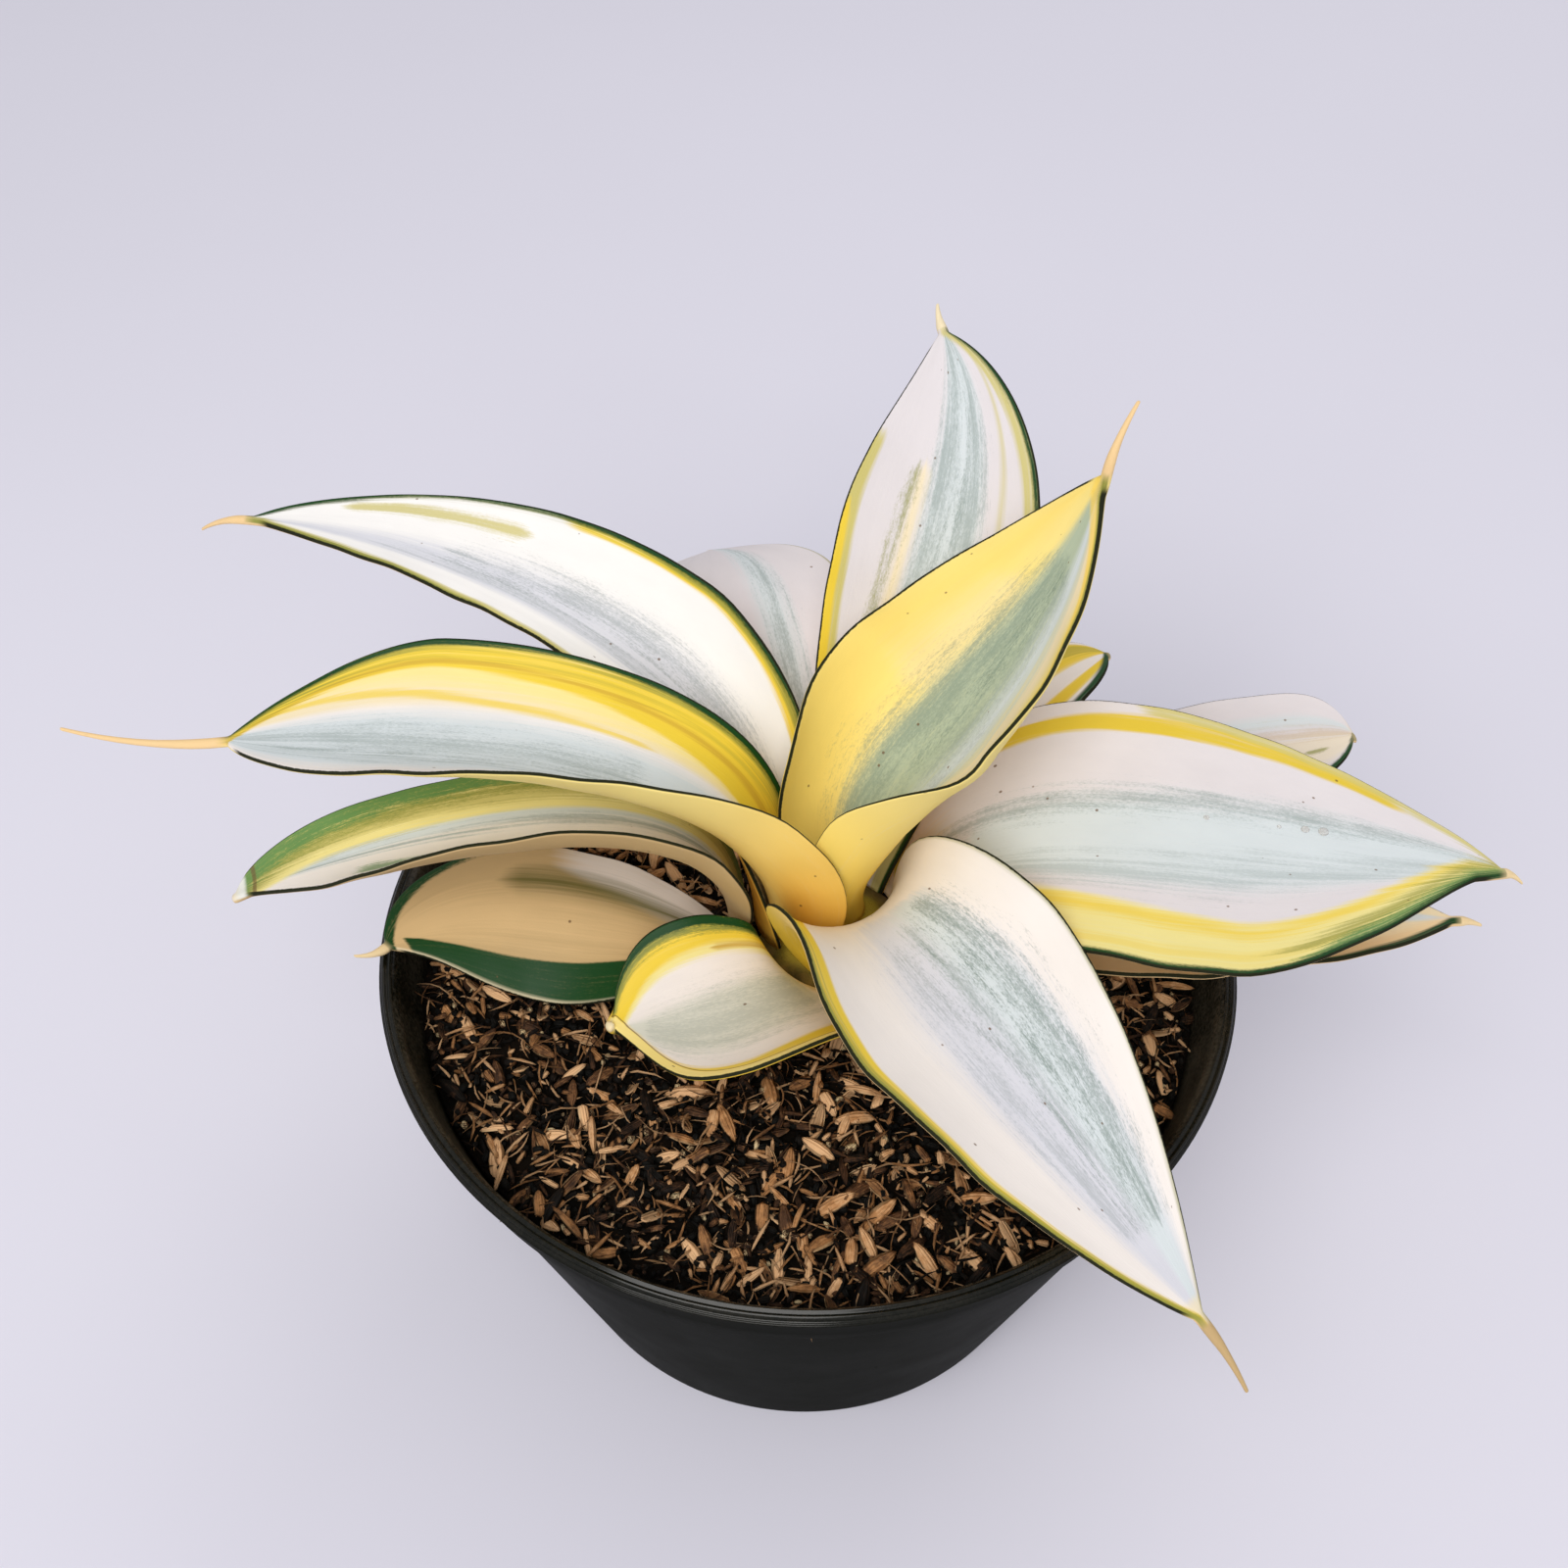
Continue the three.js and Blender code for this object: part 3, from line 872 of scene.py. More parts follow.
@dataclass(frozen=True)
class Leaf:
    """One leaf: a closed blade with rounded margins, and its hard point where it has one.

    rows run across the blade and columns along its upper side, and crowding draws the rows towards the
    tip. ripple is the height of the margins' waves, and ripple_length the length of the longest.
    """

    node: str
    slot: str
    form: LeafForm
    finish: LeafFinish
    rows: int = 76
    columns: int = 27
    margin_points: int = 5
    point_rows: int = 9
    crowding: float = 1.35
    ripple: float = 0.3
    ripple_length: float = 34.0

    RIPPLE_PITCHES = (1.0, 1.9, 3.1)
    RIPPLE_POWER = 2.5
    POINT_END_RADIUS = 0.3
    POINT_SHARE = 0.2
    CLOSING_TURNS = (0.6, 1.1)
    FOOT_GAP = 9.0
    END_GAP = 1.0

    def _ring(self, sheet: LeafSheet, u: np.ndarray) -> tuple[np.ndarray, np.ndarray, np.ndarray]:
        """Places round the blade's sections.

        Args:
            sheet: the leaf's sheet.
            u: shares of its length.

        Returns:
            For each share and each point round its section: across, lift and side (1 above, -1 below).
        """
        left = sheet.half_width(self.form.left, u)[:, None]
        right = sheet.half_width(self.form.right, u)[:, None]
        inset = sheet.MARGIN_THICKNESS / 2
        spread = np.sin(np.linspace(-np.pi / 2, np.pi / 2, self.columns))[None, :]
        upper = spread * (1 - inset / np.where(spread > 0, left, right))
        turn = np.linspace(np.pi / 2, -np.pi / 2, self.margin_points + 2)[1:-1][None, :]
        left_edge = 1 - inset * (1 - np.cos(turn)) / left
        right_edge = -(1 - inset * (1 - np.cos(turn)) / right)
        top = sheet.thickness(upper, u) / 2
        left_lift = top[:, -1:] * np.sin(turn)
        right_lift = -top[:, :1] * np.sin(turn)
        across = np.hstack([upper, left_edge, upper[:, ::-1], right_edge])
        lift = np.hstack([top, left_lift, -top[:, ::-1], right_lift])
        flat = np.ones_like(upper)
        above = np.sin(turn) * np.ones_like(left)
        side = np.hstack([flat, above, -flat, -above])
        return across, lift, side

    def _ripple(self, sheet: LeafSheet, u: np.ndarray, across: np.ndarray) -> np.ndarray:
        """Slight waves of the margins.

        Args:
            sheet: the leaf's sheet.
            u: shares of its length.
            across: places round the blade's sections.

        Returns:
            Height off the sheet at each place, in millimetres.
        """
        chance = random.Random(self.node)
        run = (u * sheet.length)[:, None] / self.ripple_length
        waves = np.zeros_like(across)
        for pitch in self.RIPPLE_PITCHES:
            phase = np.where(across > 0, chance.uniform(0, 6), chance.uniform(0, 6))
            waves += np.sin(2 * np.pi * run * pitch + phase) / pitch
        fade = np.sin(np.pi * np.clip(u, 0, 1))[:, None]
        return self.ripple * waves * np.abs(across) ** self.RIPPLE_POWER * fade

    def _point(self, sheet: LeafSheet, last: np.ndarray) -> list[np.ndarray]:
        """Rings of the hard point.

        Args:
            sheet: the leaf's sheet.
            last: the blade's last ring.

        Returns:
            The rings, from the blade's end on.
        """
        centre, side, up, tangent = (row[0] for row in sheet.frames(np.array([1.0])))
        end = np.array(self.form.spine, float)
        control = centre + tangent * np.linalg.norm(end - centre) / 2
        off = last - centre
        turn = np.arctan2(off @ up, off @ side)[:, None]
        rings = []
        for t in np.linspace(0, 1, self.point_rows + 1)[1:]:
            middle = (1 - t) ** 2 * centre + 2 * (1 - t) * t * control + t ** 2 * end
            radius = sheet.TIP_HALF_WIDTH + (self.POINT_END_RADIUS - sheet.TIP_HALF_WIDTH) * t
            round_off = radius * (np.cos(turn) * side + np.sin(turn) * up)
            rings.append(middle + off + (round_off - off) * ease(np.array(t * 2)))
        return rings

    def make(self) -> bpy.types.Object:
        """Builds the leaf.

        Returns:
            Its object.
        """
        sheet = LeafSheet(self.form)
        u = 1 - (1 - np.linspace(0, 1, self.rows)) ** self.crowding
        across, lift, side = self._ring(sheet, u)
        blade = sheet.points(u, across, lift + self._ripple(sheet, u, across))
        rings = list(blade)
        alongs = list(u)
        if self.form.spine:
            rings += self._point(sheet, rings[-1])
            alongs += list(1 + self.POINT_SHARE * np.linspace(0, 1, self.point_rows + 1)[1:])
        heading = rings[-1].mean(0) - rings[-2].mean(0)
        heading /= np.linalg.norm(heading)
        last, middle = rings[-1], rings[-1].mean(0)
        reach = np.linalg.norm(last - middle, axis=1).min()
        for turn in self.CLOSING_TURNS:
            rings.append(middle + (last - middle) * math.cos(turn) + heading * reach * math.sin(turn))
            alongs.append(alongs[-1])
        points = np.vstack([*rings, rings[0].mean(0)[None], (middle + heading * reach)[None]])
        mesh = make_mesh(self.node + "_blade", points, tube(len(rings), len(last)))
        self._mark(mesh, sheet, np.array(alongs), across, side)
        return make_object("dressed_" + self.node, mesh, self._material())

    def _material(self) -> bpy.types.Material:
        """The leaf's material."""
        return self.finish.make(self.node + "_skin", max(self.form.left[1], self.form.right[1]))

    def _mark(self, mesh: bpy.types.Mesh, sheet: LeafSheet, alongs: np.ndarray, across: np.ndarray,
              side: np.ndarray) -> None:
        """Writes the leaf's own coordinates to its mesh.

        Args:
            mesh: the mesh.
            sheet: the leaf's sheet.
            alongs: place of each ring along the leaf, past 1 on the hard point.
            across: places round the blade's sections.
            side: 1 above and -1 below, round the blade's sections.
        """
        spare = len(alongs) - len(across)
        across = np.vstack([across, np.repeat(across[-1:], spare, axis=0)])
        side = np.vstack([side, np.repeat(side[-1:], spare, axis=0)])
        u = np.clip(alongs, 0, 1)
        left = sheet.half_width(self.form.left, u)[:, None]
        right = sheet.half_width(self.form.right, u)[:, None]
        left_gap = np.where(across > 0, (1 - across) * left, left - across * right)
        right_gap = np.where(across > 0, right + across * left, (1 + across) * right)
        along = np.repeat(alongs[:, None], across.shape[1], axis=1)
        ends = np.array([[0, alongs[0], 0], [0, alongs[-1], 0]])
        blade = np.vstack([np.dstack([across, along, side]).reshape(-1, 3), ends])
        gaps = np.vstack([
            np.dstack([left_gap, right_gap, along * sheet.length]).reshape(-1, 3),
            np.array([[self.FOOT_GAP] * 2 + [0], [self.END_GAP] * 2 + [alongs[-1] * sheet.length]]),
        ])
        mark(mesh, "blade", blade)
        mark(mesh, "gaps", gaps)


def stripe(paint: Paint, centre: Sequence[float], half_width: Sequence[float], **more: Any) -> Stripe:
    """A stripe whose centre and half-width are given at the foot, the middle and the tip."""
    return Stripe(paint, Course(*centre), Course(*half_width), **more)


def wash(paint: Paint, **more: Any) -> Stripe:
    """A colour over the leaf's whole width."""
    return Stripe(paint, steady(0.0), steady(1.5), **more)


def edging(paint: Paint, side: Measure, inner: Sequence[float], **more: Any) -> Stripe:
    """A band from a margin inwards, with its width in millimetres at the foot, the middle and the tip."""
    return Stripe(paint, steady(0.0), Course(*inner), measure=side, **{"softness": 1.0, **more})


LEAVES = (
    Leaf(
        "leaf_heart_right", "leaf_yellow",
        LeafForm(
            root=(15, 5, 82), third=(15, 12.5, 107.4), two_thirds=(33, 22.6, 133), tip=(45, 29, 164),
            spine=(49, 34, 174), left=(7, 27, 0.35, 1.5, 0.85), right=(7, 26.9, 0.32, 2.4, 1.75),
            cup=(122, 135, 68, 25),
        ),
        LeafFinish(
            ground=Paint.BUTTER, under=Paint.BUTTER, under_foot=Paint.SUN, under_stripe=Paint.SUN,
            point=Paint.PEACH, seed=1,
            stripes=(
                stripe(Paint.SUN, (0.85, 0.75, 0.8), (0.5, 0.3, 0.1), softness=0.5, strength=0.4,
                       streaks=0.1),
                stripe(Paint.CREAM, (0.5, 0.45, 0.3), (0.0, 0.2, 0.0), softness=0.5, strength=0.4, start=0.3,
                       fade=0.2, end=0.9),
                stripe(Paint.CREAM, (-0.5, -0.6, -0.6), (0.1, 0.12, 0.2), softness=0.25),
                stripe(Paint.SAGE, (0.1, -0.08, -0.12), (0.25, 0.38, 0.34), softness=0.24, flecks=0.12),
                stripe(Paint.ICE, (-0.1, -0.34, -0.3), (0.05, 0.1, 0.12), softness=0.3, start=0.2),
                stripe(Paint.SLATE, (0.24, 0.17, 0.02), (0.08, 0.12, 0.12), softness=0.4, strength=0.45,
                       streaks=0.4, flecks=0.8, start=0.05, end=0.92),
                stripe(Paint.SLATE, (-0.05, -0.18, -0.14), (0.02, 0.08, 0.08), softness=0.3, strength=0.35,
                       streaks=0.5, flecks=0.8, start=0.25, end=0.9),
                edging(Paint.SUN, Measure.FROM_RIGHT, (3.0, 2.0, 2.6), streaks=0.5, strength=0.7),
                edging(Paint.OLIVE, Measure.FROM_RIGHT, (0.4, 0.5, 0.7), streaks=0.6, start=0.4),
            ),
        ),
    ),
    Leaf(
        "leaf_heart_left", "leaf_yellow",
        LeafForm(
            root=(190, 9.5, 80), third=(-20, 7, 112), two_thirds=(-54, 7, 124.6), tip=(-97, 7, 122),
            spine=(-125, 9, 122), left=(12, 23, 0.21, 2.8, 0.74), right=(10, 17.8, 0.7, 1.55, 0.84),
            cup=(70, 84, 58, 25), turn=(0, 2, 0),
        ),
        LeafFinish(
            ground=Paint.BLUSH, under=Paint.BUTTER, under_stripe=Paint.BUTTER, point=Paint.PEACH, seed=2,
            stripes=(
                stripe(Paint.CREAM, (-0.6, -0.55, -0.62), (0.5, 0.27, 0.3), softness=0.15),
                stripe(Paint.BUTTER, (-0.65, -0.68, -0.85), (0.5, 0.28, 0.1), softness=0.3, strength=0.85),
                stripe(Paint.ICE, (0.2, 0.25, 0.3), (0.1, 0.42, 0.5), softness=0.3, flecks=0.1, start=0.1),
                stripe(Paint.SLATE, (0.1, 0.22, 0.1), (0.03, 0.08, 0.1), softness=0.5, strength=0.4,
                       streaks=0.5, flecks=0.7, start=0.3),
                stripe(Paint.SLATE, (0.3, 0.5, 0.5), (0.03, 0.03, 0.04), softness=0.3, strength=0.35,
                       streaks=0.8, flecks=0.4, start=0.3),
                stripe(Paint.YELLOW, (-0.12, -0.3, -0.66), (0.0, 0.04, 0.05), softness=0.07, streaks=0.5,
                       start=0.3, strength=0.75),
                edging(Paint.YELLOW, Measure.FROM_RIGHT, (13.0, 7.0, 2.5), streaks=0.5),
                stripe(Paint.OCHRE, (6.0, 4.8, 2.0), (0.8, 0.4, 0.3), measure=Measure.FROM_RIGHT,
                       softness=1.0, streaks=0.9, strength=0.6),
                stripe(Paint.OLIVE, (4.4, 3.3, 2.2), (0.1, 0.2, 0.2), measure=Measure.FROM_RIGHT,
                       softness=1.4, streaks=1.3, strength=0.3),
                edging(Paint.OLIVE, Measure.FROM_RIGHT, (2.8, 1.8, 1.6), softness=1.4, streaks=1.0,
                       strength=0.7),
                edging(Paint.FOREST, Measure.FROM_RIGHT, (1.7, 1.1, 1.0), softness=0.9, streaks=0.6,
                       flecks=0.25),
            ),
        ),
    ),
    Leaf(
        "leaf_back_upright", "leaf_cream",
        LeafForm(
            root=(72, 11, 80), third=(14, 32, 112), two_thirds=(23, 51, 140), tip=(21, 74, 160),
            spine=(20, 77, 163), left=(3, 18.2, 0.63, 1.96, 0.84), right=(9.6, 19.6, 0.54, 1.7, 0.9),
            cup=(45, 48, 28, 20),
        ),
        LeafFinish(
            # Painted shade: the pearl ground is white dimmed for shade.
            ground=Paint.PEARL_IN_SHADE, point=Paint.CREAM, seed=3,
            stripes=(
                stripe(Paint.ICE, (0.0, -0.03, -0.1), (0.2, 0.3, 0.25), softness=0.2, flecks=0.1),
                stripe(Paint.SLATE, (0.2, 0.17, 0.0), (0.05, 0.07, 0.08), softness=0.3, strength=0.5,
                       streaks=0.5, flecks=0.6),
                stripe(Paint.SLATE, (-0.22, -0.24, -0.2), (0.0, 0.05, 0.05), softness=0.3, strength=0.5,
                       streaks=0.6, flecks=0.6),
                stripe(Paint.CREAM, (0.38, 0.35, 0.3), (0.1, 0.06, 0.05), softness=0.12, strength=0.9,
                       end=0.85),
                stripe(Paint.OLIVE, (0.46, 0.46, 0.3), (0.03, 0.04, 0.0), softness=0.16, strength=0.75,
                       streaks=0.5, flecks=0.6, end=0.85),
                stripe(Paint.KHAKI, (-0.5, -0.52, -0.7), (0.0, 0.03, 0.03), start=0.4, strength=0.6),
                edging(Paint.KHAKI, Measure.FROM_LEFT, (3.4, 3.0, 1.0), streaks=0.5, end=0.9),
                edging(Paint.YELLOW, Measure.FROM_LEFT, (2.4, 1.8, 0.0), streaks=0.6, end=0.75),
                edging(Paint.KHAKI, Measure.FROM_RIGHT, (3.5, 3.4, 1.5), streaks=0.6, strength=0.9),
                edging(Paint.FOREST, Measure.FROM_RIGHT, (0.8, 0.9, 0.5), streaks=0.5, flecks=0.3),
            ),
        ),
    ),
    Leaf(
        "leaf_back_left_long", "leaf_cream",
        LeafForm(
            root=(150, 13, 79), third=(-23.2, 26.4, 111), two_thirds=(-62, 50, 121), tip=(-107, 67, 120),
            spine=(-117, 69, 116), left=(15, 6.2, 0.6, 2.3, 0.95), right=(3, 22.2, 0.38, 1.5, 0.78),
            cup=(48, 55, 38, 25),
        ),
        LeafFinish(
            ground=Paint.SNOW, point=Paint.PEACH, seed=4,
            stripes=(
                # Painted shade: the cream wash over the foot is partly its own warm tint, partly the shade
                # near the crown.
                wash(Paint.CREAM, end=0.34, fade=0.3, strength=0.7),
                stripe(Paint.LAVENDER, (-0.15, -0.12, 0.15), (0.2, 0.27, 0.16), softness=0.3, flecks=0.08,
                       strength=0.8),
                stripe(Paint.SLATE, (-0.3, -0.28, -0.1), (0.04, 0.06, 0.0), softness=0.3, strength=0.4,
                       streaks=0.6, flecks=0.7, end=0.8),
                stripe(Paint.SLATE, (-0.05, -0.05, 0.1), (0.01, 0.02, 0.02), softness=0.3, strength=0.3,
                       streaks=0.8, flecks=0.5, end=0.9),
                stripe(Paint.KHAKI, (-0.6, -0.68, -0.76), (0.0, 0.05, 0.1), softness=0.1, strength=0.85,
                       streaks=0.6, flecks=0.3, start=0.55, end=0.93, fade=0.08),
                edging(Paint.YELLOW, Measure.FROM_RIGHT, (3.6, 2.0, 0.5), streaks=0.6, end=0.66),
                edging(Paint.OLIVE, Measure.FROM_RIGHT, (2.2, 1.3, 0.8), streaks=0.9, strength=0.8),
                edging(Paint.FOREST, Measure.FROM_RIGHT, (1.2, 0.6, 1.0), streaks=0.5, flecks=0.3),
                edging(Paint.KHAKI, Measure.FROM_LEFT, (1.2, 1.2, 0.9), streaks=0.5, start=0.3),
                edging(Paint.OLIVE, Measure.FROM_LEFT, (0.3, 0.5, 0.6), streaks=0.5, start=0.5),
            ),
        ),
    ),
    Leaf(
        "leaf_back_left_short", "leaf_cream",
        LeafForm(
            root=(110, 16, 78), third=(-9, 34, 103), two_thirds=(-16, 56, 111), tip=(-21, 78, 105),
            spine=None, left=(8, 19, 0.55, 2.2, 0.8), right=(9, 22, 0.6, 3, 0.7), cup=(32, 30, 20, 5),
        ),
        LeafFinish(
            # Painted shade: the pearl ground is white dimmed for shade.
            ground=Paint.PEARL_IN_SHADE, rim=Paint.TAN, seed=5,
            stripes=(
                stripe(Paint.ICE, (-0.2, -0.35, -0.3), (0.1, 0.14, 0.1), softness=0.2, flecks=0.1),
                stripe(Paint.SLATE, (-0.25, -0.38, -0.35), (0.02, 0.04, 0.0), softness=0.25, strength=0.5,
                       streaks=0.6, flecks=0.6),
                edging(Paint.OLIVE, Measure.FROM_RIGHT, (1.2, 0.5, 0.3), streaks=0.5),
                edging(Paint.CREAM, Measure.FROM_LEFT, (2.0, 1.0, 0.3)),
            ),
        ),
    ),
    Leaf(
        "leaf_front_right", "leaf_cream",
        LeafForm(
            root=(-60, 12.3, 79.3), third=(16.4, -17.3, 101.2), two_thirds=(39.5, -50, 98.8),
            tip=(60, -75, 88), spine=(66, -83, 83), left=(13, 23, 0.38, 1.55, 0.98),
            right=(9, 26.6, 0.4, 1.5, 0.95), cup=(62, 70, 38, 20),
        ),
        LeafFinish(
            ground=Paint.BLUSH, under_foot=Paint.YELLOW, under_stripe=Paint.PEACH, point=Paint.TAN, seed=6,
            stripes=(
                # Painted shade: the peach over the foot is partly its own warm tint, partly the shade near
                # the crown.
                stripe(Paint.PEACH, (0.6, 0.6, 0.6), (1.0, 1.0, 1.0), softness=1.0, end=0.32, fade=0.3,
                       strength=0.6),
                stripe(Paint.LAVENDER, (0.15, 0.12, 0.2), (0.2, 0.46, 0.5), softness=0.3, flecks=0.12,
                       start=0.1, strength=0.85),
                stripe(Paint.ICE, (0.3, 0.32, 0.45), (0.1, 0.2, 0.24), softness=0.3, flecks=0.15, start=0.1),
                stripe(Paint.SLATE, (0.35, 0.42, 0.55), (0.05, 0.06, 0.08), softness=0.35, strength=0.65,
                       streaks=0.5, flecks=0.8, start=0.12, end=0.95),
                stripe(Paint.SLATE, (0.15, 0.14, 0.2), (0.02, 0.04, 0.05), softness=0.3, strength=0.4,
                       streaks=0.6, flecks=0.8, start=0.15, end=0.95),
                stripe(Paint.SLATE, (0.0, -0.14, -0.1), (0.02, 0.03, 0.08), softness=0.3, strength=0.3,
                       streaks=0.8, flecks=0.8, start=0.2, end=0.95),
                wash(Paint.CREAM, start=0.92, fade=0.06, strength=0.8),
                edging(Paint.YELLOW, Measure.FROM_RIGHT, (10.0, 3.2, 1.0), streaks=0.5),
                stripe(Paint.OLIVE, (3.5, 1.6, 0.8), (0.5, 0.3, 0.2), measure=Measure.FROM_RIGHT,
                       softness=0.8, streaks=0.8, strength=0.6, end=0.7),
                edging(Paint.OLIVE, Measure.FROM_RIGHT, (0.4, 1.1, 0.7), streaks=0.6, strength=0.9),
                edging(Paint.OLIVE, Measure.FROM_LEFT, (0.3, 0.4, 0.4), streaks=0.4, strength=0.7),
            ),
        ),
    ),
    Leaf(
        "leaf_right", "leaf_cream",
        LeafForm(
            root=(0, 15, 78.5), third=(37.3, 3, 102.4), two_thirds=(74.5, -4.7, 109.8), tip=(115, -3, 108),
            spine=(118, -4, 107), left=(11, 29.8, 0.38, 1.85, 0.72), right=(5, 25, 0.6, 1.65, 2),
            cup=(35, 24, 20, 15), turn=(9, 4, 0),
        ),
        LeafFinish(
            # Painted shade: the pearl ground is white dimmed for shade.
            ground=Paint.PEARL_IN_SHADE, under_foot=Paint.BUTTER, seed=7,
            stripes=(
                # Painted shade: the peach wash over the foot is partly its own warm tint, partly the shade
                # near the crown.
                wash(Paint.PEACH, end=0.42, fade=0.4, strength=0.7),
                stripe(Paint.ICE, (0.15, 0.08, 0.3), (0.15, 0.34, 0.28), softness=0.25, flecks=0.08,
                       start=0.1),
                stripe(Paint.SLATE, (0.3, 0.38, 0.5), (0.03, 0.03, 0.03), softness=0.2, strength=0.5,
                       streaks=0.5, flecks=0.6),
                stripe(Paint.SLATE, (-0.05, -0.16, 0.2), (0.03, 0.08, 0.05), softness=0.3, strength=0.3,
                       streaks=0.8, flecks=0.5),
                stripe(Paint.GOLD, (6.0, 3.2, 0.7), (0.9, 1.6, 0.6), measure=Measure.FROM_LEFT, softness=0.9,
                       streaks=0.5, end=0.95),
                edging(Paint.KHAKI, Measure.FROM_LEFT, (0.2, 1.6, 1.2), softness=1.2, streaks=0.9,
                       start=0.35, strength=0.9),
                edging(Paint.LEMON, Measure.FROM_RIGHT, (8.0, 12.5, 1.5), softness=2.0),
                stripe(Paint.YELLOW, (7.0, 10.3, 1.5), (0.6, 1.2, 0.5), measure=Measure.FROM_RIGHT,
                       softness=2.4, streaks=0.8, strength=0.75),
                stripe(Paint.YELLOW, (2.0, 3.5, 1.0), (0.3, 0.9, 0.4), measure=Measure.FROM_RIGHT,
                       softness=2.4, streaks=1.0, strength=0.4),
                stripe(Paint.OLIVE, (2.0, 4.0, 2.0), (0.0, 1.4, 0.6), measure=Measure.FROM_RIGHT,
                       softness=2.4, streaks=1.0, flecks=0.3, start=0.45, fade=0.3, strength=0.7),
                edging(Paint.GREEN, Measure.FROM_RIGHT, (0.0, 2.4, 1.5), softness=1.8, streaks=0.8,
                       flecks=0.4, start=0.5, fade=0.25, strength=0.9),
                edging(Paint.FOREST, Measure.FROM_RIGHT, (1.0, 1.0, 0.7), streaks=0.5, flecks=0.3),
            ),
        ),
    ),
    Leaf(
        "leaf_low_left", "leaf_mixed",
        LeafForm(
            root=(188, 17, 78.5), third=(-23.7, 4.8, 105), two_thirds=(-53.5, 2, 110), tip=(-98, -5, 96),
            spine=None, left=(3, 22, 0.5, 1.5, 1.25), right=(6, 9.5, 0.72, 2.3, 0.6), cup=(30, 50, 48, 32),
            turn=(0, 4, 0),
        ),
        LeafFinish(
            ground=Paint.BLUSH, under=Paint.TAN, under_foot=Paint.TAN, seed=8,
            stripes=(
                # Painted shade: the peach wash over the foot is partly its own warm tint, partly the shade
                # near the crown.
                wash(Paint.PEACH, end=0.4, fade=0.3, strength=0.7),
                stripe(Paint.ICE, (-0.2, -0.1, 0.1), (0.3, 0.25, 0.2), softness=0.25, streaks=0.5),
                stripe(Paint.SLATE, (-0.3, -0.2, 0.0), (0.04, 0.07, 0.05), softness=0.2, strength=0.6,
                       streaks=0.9, flecks=0.4),
                stripe(Paint.SLATE, (0.1, 0.15, 0.2), (0.02, 0.04, 0.04), softness=0.15, strength=0.5,
                       streaks=0.9, flecks=0.4),
                stripe(Paint.GREEN, (8.0, 5.0, 2.4), (0.3, 2.4, 1.6), measure=Measure.FROM_LEFT,
                       softness=1.6, streaks=0.9, flecks=0.6, start=0.35, end=0.85, strength=0.8),
                edging(Paint.LEMON, Measure.FROM_RIGHT, (5.0, 9.0, 7.5), softness=1.6, streaks=0.5),
                edging(Paint.KHAKI, Measure.FROM_RIGHT, (4.0, 6.5, 6.5), softness=2.0, streaks=0.8,
                       flecks=0.3),
                edging(Paint.OLIVE, Measure.FROM_RIGHT, (2.0, 4.5, 5.5), softness=2.0, streaks=0.9,
                       flecks=0.8, strength=0.8),
                edging(Paint.GREEN, Measure.FROM_RIGHT, (1.0, 2.6, 4.0), softness=2.4, streaks=0.8,
                       flecks=1.0, strength=0.9),
                wash(Paint.SNOW, start=0.955, fade=0.03, strength=0.8),
                wash(Paint.BARK, start=0.95, end=0.972, fade=0.01, flecks=0.4, strength=0.7),
            ),
        ),
    ),
    Leaf(
        "leaf_resting_left", "leaf_tan",
        LeafForm(
            root=(202, 20, 77.5), third=(-31, 0, 84), two_thirds=(-54, 1, 86.3), tip=(-73, -8, 87),
            spine=(-78, -10, 87), left=(8, 15.9, 0.44, 2.1, 0.82), right=(8, 13.8, 0.61, 2.2, 0.82),
            cup=(20, 5, -15, -10), turn=(0, -18, -10),
        ),
        LeafFinish(
            # Painted shade: the tan ground is partly the leaf's cream dimmed by the shade of the leaves
            # above it.
            ground=Paint.TAN, seed=9,
            stripes=(
                stripe(Paint.PEACH, (0.3, 0.1, 0.0), (0.2, 0.25, 0.5), softness=0.6, strength=0.4,
                       streaks=0.5),
                # Painted light: the pale band along the right margin is the far half of the leaf lit from
                # above.
                edging(Paint.BLUSH, Measure.FROM_RIGHT, (9.0, 6.0, 1.0), softness=3.5, end=0.8, fade=0.4,
                       strength=0.8),
                # Painted shadow: the moss stripe is partly the leaf's own stripe, partly the shadow cast by
                # the low left leaf.
                stripe(Paint.MOSS, (-0.3, -0.45, -0.4), (0.12, 0.14, 0.0), softness=0.4, strength=0.95,
                       end=0.85, fade=0.25),
                edging(Paint.FOREST, Measure.FROM_LEFT, (7.0, 7.2, 3.0), softness=0.5, streaks=0.25,
                       flecks=0.15, end=0.98, fade=0.04),
                # Painted highlight: the cream hairline along the left margin is light caught on the margin's
                # edge.
                edging(Paint.CREAM, Measure.FROM_LEFT, (0.5, 0.45, 0.3), strength=0.7),
                edging(Paint.FOREST, Measure.FROM_RIGHT, (0.0, 0.6, 3.0), flecks=0.5, start=0.55),
            ),
        ),
    ),
    Leaf(
        "leaf_front_small", "leaf_mixed",
        LeafForm(
            root=(245, 16.3, 77.8), third=(-10, -17.2, 90.4), two_thirds=(-25, -20.9, 86.5),
            tip=(-33, -22, 85), spine=None, left=(14, 26, 0.5, 1.6, 1.5), right=(4, 15.5, 0.6, 2.6, 0.8),
            cup=(30, 44, 42, 34),
        ),
        LeafFinish(
            ground=Paint.BLUSH, under=Paint.SUN, under_stripe=Paint.GOLD, point=Paint.SNOW, seed=10,
            stripes=(
                # Painted shade: the peach wash over the foot is partly its own warm tint, partly the shade
                # near the crown.
                wash(Paint.PEACH, end=0.45, fade=0.4, strength=0.7),
